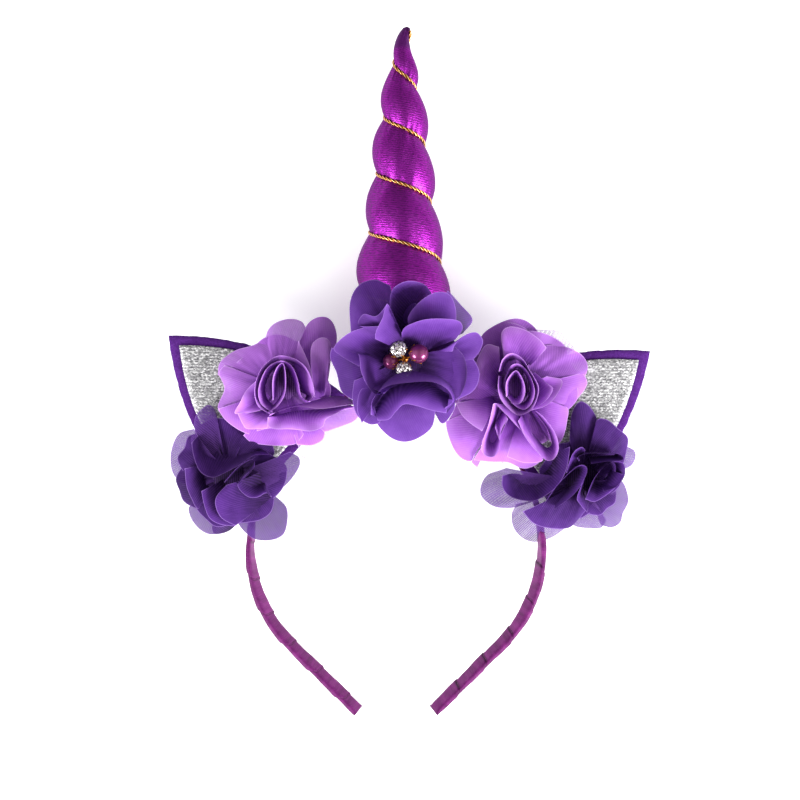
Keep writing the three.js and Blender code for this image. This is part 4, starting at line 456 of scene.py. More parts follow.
class Nodes:
    """A short way to write a material's nodes."""

    def __init__(self, name):
        self.material = bpy.data.materials.new(name)
        self.material.use_nodes = True
        self.tree = self.material.node_tree
        self.shader = self.tree.nodes["Principled BSDF"]

    def add(self, kind, inputs=None, **settings):
        node = self.tree.nodes.new(kind)
        for key, value in settings.items():
            setattr(node, key, value)
        for key, value in (inputs or {}).items():
            self.put(node.inputs[key], value)
        return node

    def put(self, socket, value):
        if isinstance(value, bpy.types.NodeSocket):
            self.tree.links.new(value, socket)
        else:
            socket.default_value = value

    def set(self, **inputs):
        for key, value in inputs.items():
            self.put(self.shader.inputs[key.replace("_", " ")], value)

    def flat(self, scale=(1, 1, 1), turn=0.0):
        """Flat coordinates along the cloth, in millimetres."""
        uv = self.add("ShaderNodeUVMap", uv_map="flat")
        return self.add("ShaderNodeMapping", {"Vector": uv.outputs[0], "Scale": scale, "Rotation": (0, 0, turn)}).outputs[0]

    def solid(self, scale=(1, 1, 1)):
        """Coordinates in space, in millimetres."""
        place = self.add("ShaderNodeTexCoord")
        size = tuple(s / MM for s in scale)
        return self.add("ShaderNodeMapping", {"Vector": place.outputs["Object"], "Scale": size}).outputs[0]

    def noise(self, vector, size, detail=2.0, roughness=0.5):
        return self.add("ShaderNodeTexNoise", {
            "Vector": vector, "Scale": 1 / size, "Detail": detail, "Roughness": roughness}).outputs["Fac"]

    def stripes(self, vector, pitch, distortion=0.0, direction="X"):
        return self.add("ShaderNodeTexWave", {
            "Vector": vector, "Scale": math.pi / 10 / pitch, "Distortion": distortion, "Detail": 1.0,
            "Detail Scale": 1.5}, bands_direction=direction).outputs["Fac"]

    def value(self, name):
        return self.add("ShaderNodeAttribute", attribute_name=name).outputs["Fac"]

    def math(self, operation, a, b=0.0):
        node = self.add("ShaderNodeMath", operation=operation)
        self.put(node.inputs[0], a)
        self.put(node.inputs[1], b)
        return node.outputs[0]

    def ramp(self, value, *stops):
        node = self.add("ShaderNodeValToRGB", {"Fac": value})
        elements = node.color_ramp.elements
        while len(elements) < len(stops):
            elements.new(0.5)
        for element, (position, code) in zip(elements, stops):
            element.position = position
            element.color = (*hexed(code), 1)
        return node.outputs["Color"]

    def span(self, value, low, high, out_low=0.0, out_high=1.0):
        return self.add("ShaderNodeMapRange", {
            "Value": value, "From Min": low, "From Max": high, "To Min": out_low, "To Max": out_high}).outputs[0]

    def mix(self, share, a, b, blend="MIX"):
        node = self.add("ShaderNodeMix", data_type="RGBA", blend_type=blend)
        self.put(node.inputs["Factor"], share)
        sockets = [s for s in node.inputs if s.type == "RGBA"]
        for socket, value in zip(sockets, (a, b)):
            self.put(socket, (*hexed(value), 1) if isinstance(value, str) else value)
        return next(s for s in node.outputs if s.type == "RGBA")

    def bump(self, height, strength, distance):
        return self.add("ShaderNodeBump", {"Height": height, "Strength": strength, "Distance": distance * MM}).outputs[0]


def hexed(code):
    """A colour as it looks on a screen, such as 8a2a86, as the shader's linear numbers."""
    parts = [int(code[i:i + 2], 16) / 255 for i in (0, 2, 4)]
    return tuple(c / 12.92 if c <= 0.04045 else ((c + 0.055) / 1.055) ** 2.4 for c in parts)


def chiffon(name, colors, rim_color):
    """Sheer woven cloth, with painted shade deep in the flower and painted light further out and on higher petals, and
    paler along its cut edge.
    """
    n = Nodes(name)
    ribs = n.stripes(n.flat(), 0.85, 0.8)
    threads = n.stripes(n.flat(turn=math.pi / 2), 0.7, 0.8)
    grain = n.noise(n.solid(), 0.45, 2.0, 0.7)
    moire = n.noise(n.flat(scale=(0.35, 0.12, 1)), 1.0, 2.0)
    patches = n.noise(n.solid(), 12.0, 3.0)
    # Painted light and shade: darker deep in the flower, lighter further out, with random patches of tone.
    depth = n.math("ADD", n.value("depth"), n.span(patches, 0.3, 0.7, -0.1, 0.1))
    color = n.ramp(depth, *zip((0.0, 0.3, 0.62, 1.0), colors))
    weave = n.math("ADD", n.math("MULTIPLY", ribs, n.span(moire, 0.35, 0.7, 0.25, 0.95)), n.math("MULTIPLY", grain, 0.7))
    color = n.mix(n.span(weave, 0.3, 1.1, 0.0, 0.22), color, colors[3])
    # Sheer parts are painted lighter, a painted stand-in for light that comes through the cloth.
    color = n.mix(n.span(n.value("sheer"), 0.0, 0.25, 0.0, 0.5), color, colors[3])
    rim = n.span(n.value("edge"), 0.12, 0.4, 1.0, 0.0)
    color = n.mix(n.math("MULTIPLY", rim, 0.4), color, rim_color)
    sheer = n.math("MULTIPLY", n.value("sheer"), n.span(weave, 0.3, 0.9, 1.5, 0.5))
    sheer = n.math("MULTIPLY", sheer, n.math("SUBTRACT", 1.0, n.math("MULTIPLY", rim, 0.7)))
    surface = n.math("ADD", n.math("MULTIPLY", ribs, 0.6), n.math("MULTIPLY", threads, 0.4))
    n.set(Base_Color=color, Roughness=0.8, Alpha=n.math("SUBTRACT", 0.99, sheer), Normal=n.bump(surface, 0.32, 0.12))
    n.shader.inputs["Sheen Weight"].default_value = 0.08
    n.shader.inputs["Sheen Roughness"].default_value = 0.5
    n.shader.inputs["Sheen Tint"].default_value = (*hexed(rim_color), 1)
    n.shader.inputs["Specular IOR Level"].default_value = 0.12
    return n.material


def tulle():
    """A stiff pale net with open ribs."""
    n = Nodes("tulle")
    ribs = n.stripes(n.flat(), 1.7, 1.5)
    net = n.noise(n.flat(), 0.4, 3.0, 0.7)
    rim = n.span(n.value("edge"), 0.2, 0.6, 0.2, 0.0)
    alpha = n.math("ADD", n.span(n.math("ADD", n.math("MULTIPLY", ribs, 0.5), net), 0.3, 1.2, 0.15, 0.75), rim)
    n.set(Base_Color=n.mix(net, "dcc8e8", "b394c8"), Roughness=0.6, Alpha=alpha, Normal=n.bump(ribs, 0.3, 0.2))
    n.shader.inputs["Sheen Weight"].default_value = 0.2
    return n.material


def satin():
    """Ribbon wound round the band, with painted shade in the crease where one lap covers the next. lap is 0 to 1 from
    one edge of the ribbon to its next turn.
    """
    n = Nodes("satin_ribbon")
    threads = n.noise(n.flat(scale=(4.0, 0.5, 1), turn=0.5), 1.0, 2.0)
    folds = n.noise(n.flat(scale=(0.3, 0.12, 1), turn=0.5), 1.0, 2.0)
    lap = n.value("lap")
    lap_crease_shade = n.math("MINIMUM", n.span(lap, 0.0, 0.05, 0.0, 1.0), n.span(lap, 0.95, 1.0, 1.0, 0.1))
    color = n.ramp(n.math("ADD", n.math("MULTIPLY", folds, 0.6), n.math("MULTIPLY", threads, 0.4)),
                   (0.3, "42093c"), (0.5, "5c1656"), (0.7, "75286c"))
    # Dark painted shade in the crease at each edge of a lap.
    color = n.mix(lap_crease_shade, "1c0219", color)
    n.set(Base_Color=color, Roughness=n.span(threads, 0.3, 0.7, 0.4, 0.55),
          Normal=n.bump(n.math("ADD", threads, folds), 0.35, 0.35))
    n.shader.inputs["Anisotropic"].default_value = 0.5
    n.shader.inputs["Sheen Weight"].default_value = 0.05
    n.shader.inputs["Sheen Tint"].default_value = (*hexed("c060b8"), 1)
    n.shader.inputs["Specular IOR Level"].default_value = 0.12
    return n.material


def lame():
    """Metallic knit. Its foil lies in short dashes across the horn, and the tip is duller."""
    n = Nodes("metallic_cloth")
    dashes = n.noise(n.flat(scale=(0.5, 1.5, 1), turn=-0.1), 1.0, 3.0, 0.65)
    rows = n.stripes(n.flat(turn=-0.1), 0.95, 2.5, "Y")
    cloth = n.noise(n.flat(scale=(0.07, 0.05, 1)), 1.0, 3.0)
    foil = n.span(n.math("ADD", dashes, n.math("MULTIPLY", rows, 0.22)), 0.42, 0.78)
    tip = n.value("tip")
    color = n.mix(foil, "520b5b", "9a249f")
    color = n.mix(n.span(cloth, 0.35, 0.65, 0.0, 0.3), color, "64106f")
    color = n.mix(tip, color, "4a0f55")
    matte = n.math("SUBTRACT", 1.0, n.math("MULTIPLY", tip, 0.8))
    metal = n.math("MULTIPLY", n.span(foil, 0.0, 1.0, 0.7, 1.0), matte)
    rough = n.math("ADD", n.span(foil, 0.0, 1.0, 0.48, 0.37), n.math("MULTIPLY", tip, 0.25))
    height = n.math("ADD", n.math("MULTIPLY", foil, 0.45), n.math("MULTIPLY", cloth, 1.2))
    n.set(Base_Color=color, Metallic=metal, Roughness=rough, Normal=n.bump(height, 0.6, 0.3))
    n.shader.inputs["Coat Weight"].default_value = 0.15
    n.shader.inputs["Coat Roughness"].default_value = 0.3
    n.shader.inputs["Specular Tint"].default_value = (*hexed("a848b4"), 1)
    return n.material


def gold(name):
    """Bright metal thread, with painted shade in the hollows between strands and a painted highlight on top of them.
    Its value is 0 in the hollows and 1 on top of the strands.
    """
    n = Nodes(name)
    fibres = n.noise(n.flat(scale=(2.0, 6.0, 1)), 1.0, 2.0)
    level = n.math("ADD", n.math("MULTIPLY", n.value("strand_light"), 0.8), n.math("MULTIPLY", fibres, 0.3))
    # Painted shade in the hollows between strands, rising to a near-white painted highlight on their tops.
    color = n.ramp(level, (0.25, "6a2a0c"), (0.5, "a05a1a"), (0.78, "e2a83c"), (0.96, "fff4c4"))
    n.set(Base_Color=color, Metallic=0.65, Roughness=n.span(fibres, 0.2, 0.8, 0.42, 0.22),
          Normal=n.bump(fibres, 0.35, 0.15))
    return n.material


def felt():
    n = Nodes("felt")
    fluff = n.noise(n.solid(), 0.7, 4.0, 0.7)
    clumps = n.noise(n.solid(), 4.0, 2.0)
    level = n.math("ADD", n.math("MULTIPLY", fluff, 0.7), n.math("MULTIPLY", clumps, 0.3))
    color = n.ramp(level, (0.3, "3c1457"), (0.5, "4f2274"), (0.7, "613087"))
    n.set(Base_Color=color, Roughness=0.95, Normal=n.bump(fluff, 0.6, 0.5))
    n.shader.inputs["Sheen Weight"].default_value = 0.1
    n.shader.inputs["Sheen Tint"].default_value = (*hexed("9a70c0"), 1)
    n.shader.inputs["Specular IOR Level"].default_value = 0.1
    return n.material


def glitter():
    """Silver glitter in rough rows. Each flake has its own grey, from dark to near white, partly the glitter's own mix
    and partly painted glints, and its own shine.
    """
    n = Nodes("glitter_sheet")
    flakes = n.add("ShaderNodeTexVoronoi", {"Vector": n.solid((1.5, 2.1, 1)), "Scale": 1.0, "Randomness": 1.0})
    shade = n.add("ShaderNodeSeparateColor", {"Color": flakes.outputs["Color"]})
    rows = n.stripes(n.solid(), 1.25, 1.5, "Y")
    patches = n.noise(n.solid((0.5, 1.0, 1)), 1.6, 2.0)
    # Each flake's grey is partly its own colour and partly a painted glint; rows and patches add pattern.
    level = n.math("ADD", n.math("MULTIPLY", shade.outputs[0], 0.62), n.math("MULTIPLY", rows, 0.16))
    level = n.math("ADD", level, n.math("MULTIPLY", patches, 0.25))
    color = n.ramp(level, (0.15, "5c5b5f"), (0.42, "929193"), (0.62, "b8b7b8"), (0.85, "f2f1f1"))
    n.set(Base_Color=color, Metallic=0.25, Roughness=n.span(shade.outputs[1], 0.0, 1.0, 0.22, 0.6),
          Normal=n.bump(shade.outputs[2], 0.6, 0.4))
    return n.material


def pearl():
    n = Nodes("pearl")
    mist = n.noise(n.solid(), 3.0, 2.0)
    color = n.mix(n.span(mist, 0.3, 0.7, 0.0, 0.4), "6e2454", "8f4577")
    n.set(Base_Color=color, Metallic=0.5, Roughness=0.3)
    n.shader.inputs["Coat Weight"].default_value = 0.6
    n.shader.inputs["Coat Roughness"].default_value = 0.06
    n.shader.inputs["Specular Tint"].default_value = (*hexed("b070a0"), 1)
    return n.material


def stone():
    """Clear cut stones with foil behind them. Each facet is painted its own grey, from dark to near white, as a
    painted reflection.
    """
    n = Nodes("rhinestone")
    color = n.ramp(n.value("tone_and_glint"), (0.0, "3a3030"), (0.3, "8d8384"), (0.65, "bdb5b5"), (0.95, "f4f0ee"))
    n.set(Base_Color=color, Metallic=0.6, Roughness=0.12)
    n.shader.inputs["Coat Weight"].default_value = 1.0
    n.shader.inputs["Coat Roughness"].default_value = 0.03
    return n.material


# The four chiffon colours run from painted shade deep in a flower to painted light further out; the last colour is the
# paler cut edge.
dark_chiffon = chiffon("dark_chiffon", ("0e0219", "2b0d4a", "4c2476", "6c4197"), "9a74c0")
lilac_chiffon = chiffon("lilac_chiffon", ("27033f", "642a8a", "9152b3", "b57fcf"), "d8b0e8")
veil = tulle()
ribbon = satin()
foil_cloth = lame()
cord_gold = gold("gold_cord")
wire_gold = gold("gold_wire")
felt_cloth = felt()
silver = glitter()
pearl_coat = pearl()
cut_stone = stone()

# Headband


def band_line(count):
    """Evenly spaced points of the band's centre line, their tangents, and its length."""
    inset = BAND_HALF_WIDTH - SHOULDER_RADIUS
    share = np.linspace(0, 1, 2000)
    tip = leg_tip()
    turn = -SHOULDER_TURN * (1 - share)
    shoulder = np.stack([inset + SHOULDER_RADIUS * np.cos(turn), SHOULDER_RADIUS * np.sin(turn)], 1)
    leg = np.array(tip) + (shoulder[0] - tip) * share[:, None]
    arch = np.stack([BAND_HALF_WIDTH * np.cos(share * math.pi / 2), ARCH_HEIGHT * np.sin(share * math.pi / 2)], 1)
    right = np.concatenate([leg, shoulder[1:], arch[1:]])
    points = np.concatenate([right * (-1, 1), right[::-1][1:]])
    steps = np.concatenate([[0], np.cumsum(np.linalg.norm(np.diff(points, axis=0), axis=1))])
    along = np.linspace(0, steps[-1], count)
    line = np.stack([np.interp(along, steps, points[:, 0]), np.interp(along, steps, points[:, 1])], 1)
    tangents = np.gradient(line, axis=0)
    return line, tangents / np.linalg.norm(tangents, axis=1)[:, None], steps[-1]


def headband():
    sections, sides = 1100, 28
    line, tangent, length = band_line(sections)
    k = (np.arange(sides) + 0.5) / sides
    along = np.linspace(0, 1, sections)[:, None]
    slant = 0.12 * np.sin(2 * math.pi * k)[None, :]
    lap = (along * length / RIBBON_PITCH + k[None, :] + slant) % 1
    swell = RIBBON_STEP * (smooth_step(lap, 0, 0.04) * (1.5 - 0.9 * lap) - 1)
    swell = swell + 0.08 * waves(along * length, k[None, :] * 17, 21, 9.0)
    outward = np.stack([-tangent[:, 1], tangent[:, 0], np.zeros(sections)], 1)
    down = np.clip(0.5 - 2 * line[:, 1] / ARCH_HEIGHT, 0, 1)
    twist = (LEG_TWIST * down)[:, None]
    up = np.array([[0, 0, 1.0]])
    across = outward * np.cos(twist) - up * np.sin(twist)
    front = outward * np.sin(twist) + up * np.cos(twist)
    angle = 2 * math.pi * k
    shape_c = np.sign(np.cos(angle)) * np.abs(np.cos(angle)) ** (2 / BAND_CORNER)
    shape_s = np.sign(np.sin(angle)) * np.abs(np.sin(angle)) ** (2 / BAND_CORNER)
    from_end = np.minimum(along, 1 - along) * length
    fold = np.clip(1 - from_end / END_FOLD, 0, 1) ** 2
    points = np.stack([line[:, 0], line[:, 1], np.zeros(sections)], 1)[:, None, :]
    points = points + across[:, None, :] * ((BAND_THICKNESS / 2 * (1 - 0.5 * fold) + swell) * shape_c)[:, :, None]
    points = points + front[:, None, :] * ((BAND_WIDTH / 2 * (1 + 0.14 * fold) + swell) * shape_s)[:, :, None]
    faces = [list(f) for f in grid_faces(sections, sides, wrap=True)[:, ::-1]]
    faces.append(list(range(sides)))
    faces.append([(sections - 1) * sides + i for i in range(sides)][::-1])
    flat = np.stack([np.broadcast_to(along * length, lap.shape), np.broadcast_to(k * 17, lap.shape)], 2)
    points = placed(points, band_frame)
    points[:, 2] = np.maximum(points[:, 2], 0.00002)
    dressed("headband", "headband_ribbon", points, faces, ribbon, flat.reshape(-1, 2), {"lap": lap})


headband()

# Horn and cord


def turns_at(height):
    return height / GROOVE_PITCH * (1 + GROOVE_TAPER * height / HORN_LENGTH / 2)


def height_at(turns):
    k = GROOVE_TAPER / (2 * HORN_LENGTH)
    return (np.sqrt(1 + 4 * k * np.maximum(turns, 0) * GROOVE_PITCH) - 1) / (2 * k)


def smooth_table(rows, at):
    """A column of a table, smoothed a little between its rows."""
    heights, values = zip(*rows)
    return sum(np.interp(at + d, heights, values) for d in (-0.012, -0.006, 0, 0.006, 0.012)) / 5


def horn_points(turns, angle, extra, fine=0.0):
    """Points of the horn, whose axis is +Z and whose front is -Y. Its angles run from the front to the left."""
    height = np.clip(height_at(turns), 0, HORN_LENGTH)
    share = height / HORN_LENGTH
    radius = np.where(share > 0.98, np.interp(share, *zip(*HORN_PROFILE)), smooth_table(HORN_PROFILE, share))
    radius = radius * HORN_RADIUS
    lap = turns - angle / (2 * math.pi) - GROOVE_PHASE
    phase = 1 - (lap - np.floor(lap))
    bulge = np.maximum(np.sin(math.pi * phase ** LOBE_SKEW), 0) ** LOBE_FULLNESS
    fade = smooth_step(height, GROOVE_START * 0.4, GROOVE_START * 1.3)
    reach = radius - GROOVE_DEPTH * fade * np.minimum(1, radius / (0.38 * HORN_RADIUS)) * (1 - bulge)
    if fine:
        side, front = HORN_RADIUS * np.sin(angle), HORN_RADIUS * np.cos(angle)
        thin = np.minimum(1, radius / 10)
        reach = reach + fine * (1 - bulge) * fade * waves(side, front + height * 0.2, 3, 4.5)
        reach = reach + fine * thin * waves(side + height * 0.4, front - height * 0.5, 5, 15)
    reach = np.maximum(reach + extra * np.sign(radius), 0)
    bend = smooth_table(HORN_BEND, share) * HORN_RADIUS
    return np.stack([bend - reach * np.sin(angle), -reach * np.cos(angle), height], -1), share


def horn():
    columns, rows = 128, 44
    rows_up = int(math.ceil((turns_at(HORN_LENGTH) + 1.2) * rows))
    c = np.arange(columns + 1)[None, :]
    r = np.arange(rows_up + 1)[:, None]
    angle = 2 * math.pi * c / columns - math.pi + 0 * r
    turns = r / rows - 1 + c / columns
    points, share = horn_points(turns, angle, 0, fine=0.3)
    points = placed(points, horn_frame)
    points[:, 2] = np.maximum(points[:, 2], 0.00005)
    flat = np.stack([angle * HORN_RADIUS * 0.8, share * HORN_LENGTH], 2).reshape(-1, 2)
    faces = grid_faces(rows_up + 1, columns + 1)[:, ::-1]
    across = np.linalg.norm(points[faces[:, 2]] - points[faces[:, 0]], axis=1)
    other = np.linalg.norm(points[faces[:, 3]] - points[faces[:, 1]], axis=1)
    faces = faces[np.minimum(across, other) > 1e-7]
    foot, _ = horn_points(np.zeros(columns), angle[0, :-1], 0, fine=0.3)
    foot = placed(np.concatenate([foot, [foot.mean(axis=0)]]), horn_frame)
    i = len(points) + np.arange(columns)
    faces = [list(f) for f in faces] + [[a, b, len(points) + columns] for a, b in zip(np.roll(i, -1), i)]
    points = np.concatenate([points, foot])
    flat = np.concatenate([flat, foot[:, [0, 2]] / MM])
    tip = np.concatenate([smooth_step(share, 0.925, 0.945).ravel(), np.zeros(len(foot))])
    piece = dressed("horn_body", "horn_cloth", points, faces, foil_cloth, flat,
                    {"tip": tip})


def horn_cord():
    steps, sides = 2600, 12
    strand_pitch = 6.6
    turns = np.linspace(turns_at(CORD_START), turns_at(CORD_END), steps)
    centre, _ = horn_points(turns, 2 * math.pi * (turns - GROOVE_PHASE), CORD_DIAMETER / 2 + CORD_LIFT - 0.5)
    tangent = np.gradient(centre, axis=0)
    length = np.concatenate([[0], np.cumsum(np.linalg.norm(np.diff(centre, axis=0), axis=1))])[:, None]
    tangent /= np.linalg.norm(tangent, axis=1)[:, None]
    outward = centre * (1, 1, 0)
    outward /= np.linalg.norm(outward, axis=1)[:, None]
    side = np.cross(tangent, outward)
    side /= np.linalg.norm(side, axis=1)[:, None]
    outward = np.cross(side, tangent)
    k = 2 * math.pi * np.arange(sides)[None, :] / sides
    strand = np.cos(3 * (k - length * 2 * math.pi / strand_pitch))
    reach = CORD_DIAMETER / 2 * (0.7 + 0.24 * strand)
    points = centre[:, None, :] + outward[:, None, :] * (reach * np.cos(k))[:, :, None]
    points = points + side[:, None, :] * (reach * np.sin(k))[:, :, None]
    faces = [list(f) for f in grid_faces(steps, sides, wrap=True)]
    faces.append(list(range(sides))[::-1])
    faces.append([(steps - 1) * sides + i for i in range(sides)])
    flat = np.stack([length + 0 * k, k + 0 * length], 2)
    # Painted shade in the hollows between the cord's strands and a painted highlight on their tops.
    dressed("horn_cord", "horn_cord_gold", placed(points, horn_frame), faces, cord_gold,
            flat.reshape(-1, 2), {"strand_light": 0.5 + 0.5 * strand})


horn()
horn_cord()

# Ears


def ear_outline(inset, count=60):
    half = EAR_WIDTH / 2 - inset
    tip = EAR_HEIGHT - inset / math.sin(EAR_TIP_ANGLE / 2)
    shoulder = tip - half / math.tan(EAR_TIP_ANGLE / 2)
    t = np.linspace(0, 1, count)[:, None]
    foot, bend, top = np.array([half, inset]), np.array([half, shoulder]), np.array([0.0, tip])
    right = foot * (1 - t) ** 2 + bend * 2 * t * (1 - t) + top * t ** 2
    left = (right * (-1, 1))[::-1][1:]
    base = np.stack([np.linspace(-half, half, 30), np.full(30, inset)], 1)[1:-1]
    return np.concatenate([right, left, base])


def ear_layer(side, layer, material, inset, level, thickness, rough):
    """One cut sheet of an ear, with rounded edges. rough is how ragged the cut is."""
    outline = ear_outline(inset)
    count = len(outline)
    middle = np.array([0.0, EAR_HEIGHT * 0.4])
    spokes = outline - middle
    length = np.linalg.norm(spokes, axis=1)[:, None]
    around = np.cumsum(np.linalg.norm(np.diff(outline, axis=0, prepend=outline[-1:]), axis=1))
    ragged = rough * (waves(around, 0, 7, 5.0) + 0.7 * waves(around, 0, 8, 2.0))[:, None]
    soft = min(thickness * 0.4, 0.5)
    rings = []
    for rise, inward in ((0, 3), (0, soft), (soft, 0), (thickness - soft, 0), (thickness, soft), (thickness, 3)):
        flat = middle + spokes * (1 - (inward - ragged * (inward < 1)) / length)
        rings.append(np.concatenate([flat, np.full((count, 1), rise)], 1))
    rings.append([[*middle, 0], [*middle, thickness]])
    points = np.concatenate(rings)
    faces = [list(f) for f in grid_faces(6, count, wrap=True)]
    for i in range(count):
        j = (i + 1) % count
        faces.append([j, i, 6 * count])
        faces.append([5 * count + i, 5 * count + j, 6 * count + 1])
    dressed("ear_" + layer + "_" + side, "ear_" + layer + "_sheet_" + side,
            placed(points, ear_frame(side, level)), faces, material, points[:, :2])


for ear_side in ("left", "right"):
    ear_layer(ear_side, "felt", felt_cloth, 0.0, FELT_BACK, FELT_THICKNESS, 0.16)
    ear_layer(ear_side, "glitter", silver, EAR_BORDER, GLITTER_BACK - SEAT_GAP, GLITTER_THICKNESS, 0.05)

# Flowers


def curve_points(points, share):
    """A Catmull-Rom curve through the points, at shares of its parameter."""
    p = np.asarray(points, dtype=float)
    p = np.concatenate([[2 * p[0] - p[1]], p, [2 * p[-1] - p[-2]]])
    at = np.clip(share, 0, 1) * (len(points) - 1)
    i = np.minimum(at.astype(int), len(points) - 2)
    t = (at - i)[:, None]
    a, b, c, d = p[i], p[i + 1], p[i + 2], p[i + 3]
    m, n = (c - a) / 2, (d - b) / 2
    return b + m * t + (3 * (c - b) - 2 * m - n) * t ** 2 + (2 * (b - c) + m + n) * t ** 3


def petal(row, order, radius, seed):
    """Points, faces, flat coordinates and named numbers of one petal."""
    folded = bool(row.get("fine"))
    across = 8 * len(row["rim"]) if folded else 48
    along = 14 if folded else 26
    u = np.linspace(0, 1, across + 1)
    v = np.linspace(0, 1, along + 1)[:, None]
    rim = curve_points(row["rim"], u)
    root = curve_points(row["root"], u) if "root" in row else rim * (ROOT_SHARE, ROOT_SHARE, 0) + (0, 0, ROOT_SHARE * 0.3)
    span = np.linalg.norm(rim - root, axis=1)[None, :]
    width = np.concatenate([[0], np.cumsum(np.linalg.norm(np.diff(rim, axis=0), axis=1))])[None, :]
    points = root[None] * (1 - v[:, :, None]) + rim[None] * v[:, :, None]
    points[:, :, 2] += row.get("belly", 0) * 4 * v * (1 - v) + order * PETAL_STEP
    points[:, :, 2] += (0.008 if folded else 0.028) * waves(width, v * 0.35 + seed, seed, 0.55, 4) * v ** 1.5
    points[:, :, 2] += 0.009 * waves(width + 0 * v, 0.3 * v + seed, seed + 40, 0.2, 4) * (1.1 - v) * v ** 0.5
    side = np.minimum(width, width[:, -1:] - width) * (0.25 + 0.75 * v)
    edge = np.minimum(side + 0.02 * (1 - v), (1 - v) * span)
    rng = random.Random(seed)
    # Painted light and shade: dark at the root, lighter towards the rim and on petals that stand higher, with a random
    # tone for each petal.
    depth = 0.08 + 0.66 * v ** 0.9 + 0.45 * (points[:, :, 2] - 0.12) + rng.uniform(-0.08, 0.08)
    slant = rng.uniform(-0.7, 0.7)
    flat_u = (width - width[:, -1:] / 2) * (0.35 + 0.65 * v) * radius
    flat_v = v * span.mean() * radius + 0 * flat_u
    flat = np.stack([flat_u * math.cos(slant) - flat_v * math.sin(slant),
                     flat_u * math.sin(slant) + flat_v * math.cos(slant)], 2)
    sheer = row.get("sheer", 0.0) * SHEER * v ** 0.4 + 0 * edge
    values = {"edge": edge.ravel() * radius, "depth": np.clip(depth, 0, 1).ravel(), "sheer": sheer.ravel()}
    return points.reshape(-1, 3) * radius, grid_faces(along + 1, across + 1), flat.reshape(-1, 2), values


def under_petals(seed, count, reach):
    """Rows of plain low petals that close the flower underneath."""
    rng = random.Random(seed)
    rows = []
    for i in range(count):
        middle = 2 * math.pi * (i + rng.uniform(-0.15, 0.15)) / count
        half = math.pi / count * 1.5
        rim = []
        for step in (-1, -0.75, -0.35, 0, 0.35, 0.75, 1):
            angle = middle + half * step
            r = reach * (1 - 0.3 * abs(step) ** 3) * rng.uniform(0.95, 1.05)
            rim.append((r * math.cos(angle), r * math.sin(angle), 0.02 + rng.uniform(0, 0.05)))
        rows.append({"rim": rim, "belly": 0.06})
    return rows


def flower(node, x, y, level, radius, rows, material, seed, under, veils=(), pitch=0.0, yaw=0.0, pad=0.0,
           shade=1.0):
    """One flower: its sheer petals on a small gathered core, which stands on a pad."""
    place = band_frame @ Matrix.Translation((x * BAND_HALF_WIDTH, y * ARCH_HEIGHT, level))
    lean = Matrix.Rotation(math.radians(pitch), 4, "X") @ Matrix.Rotation(math.radians(yaw), 4, "Y")
    seat = place @ Matrix.Translation((0, 0, PAD_THICKNESS + 0.5)) @ lean
    points, faces, flat = [], [], []
    values = {"edge": [], "depth": [], "sheer": []}
    total = 0
    veil_faces = 0
    petals = [(row, 0) for row in under_petals(seed, 7, under)]
    petals = [(row, i) for i, row in enumerate(veils)] + petals
    petals += [(row, len(veils) + i) for i, row in enumerate(rows)]
    for number, (row, order) in enumerate(petals):
        p, f, w, numbers = petal(row, order, radius, seed + number)
        points.append(placed(p, seat))
        faces.append(f + total)
        flat.append(w)
        for key in values:
            values[key].append(numbers[key])
        total += len(p)
        if number < len(veils):
            veil_faces += len(f)
    profile = [(0, -pad), (10.5, -pad), (10.5, PAD_THICKNESS), (CORE_REACH * radius, PAD_THICKNESS),
               (CORE_REACH * radius * 0.85, PAD_THICKNESS + CORE_RISE * radius * 0.6),
               (CORE_REACH * radius * 0.45, PAD_THICKNESS + CORE_RISE * radius * 0.9),
               (0, PAD_THICKNESS + CORE_RISE * radius * 0.92)]
    turns = 2 * math.pi * np.arange(32) / 32
    core = np.array([[(r * math.cos(a), r * math.sin(a), z) for a in turns] for r, z in profile]).reshape(-1, 3)
    points.append(placed(core, place))
    faces.append(grid_faces(len(profile), 32, start=total, wrap=True))
    flat.append(core[:, :2])
    # The core gets the darkest painted shade, and shade below 1 darkens the painted light of this whole flower.
    for key, number in (("edge", 5.0), ("depth", 0.05), ("sheer", 0.0)):
        values[key].append(np.full(len(core), number))
    values["depth"] = [shade * d for d in values["depth"]]
    points = np.concatenate(points)
    points[:, 2] = np.maximum(points[:, 2], 0.0003)
    piece = dressed(node, node + "_chiffon", points, np.concatenate(faces), material, np.concatenate(flat),
                    {key: np.concatenate(column) for key, column in values.items()})
    if veils:
        piece.data.materials.append(veil)
        for polygon in piece.data.polygons[:veil_faces]:
            polygon.material_index = 1


flower("flower_centre", 0.06, 1.219, CENTRE_PAD, 33, CENTRE_PETALS, dark_chiffon, 100, 0.7, pad=9.0)
flower("rose_left", -0.781, 1.023, PAD_BACK + 4, 28, ROSE_LEFT_PETALS, lilac_chiffon, 200, 0.75,
       veils=ROSE_LEFT_VEIL, pad=4.0)
flower("rose_right", 0.819, 1.016, PAD_BACK + 4, 28, ROSE_RIGHT_PETALS, lilac_chiffon, 300, 0.95,
       veils=ROSE_RIGHT_VEIL, pad=4.0)
flower("side_flower_left", -1.129, 0.476, PAD_BACK, 28, SIDE_LEFT_PETALS, dark_chiffon, 400, 0.82,
       pitch=4, yaw=-6, shade=0.5)
flower("side_flower_right", 1.259, 0.444, PAD_BACK, 28, SIDE_RIGHT_PETALS, dark_chiffon, 500, 0.62,
       pitch=4, yaw=6, shade=0.58)

# Beads

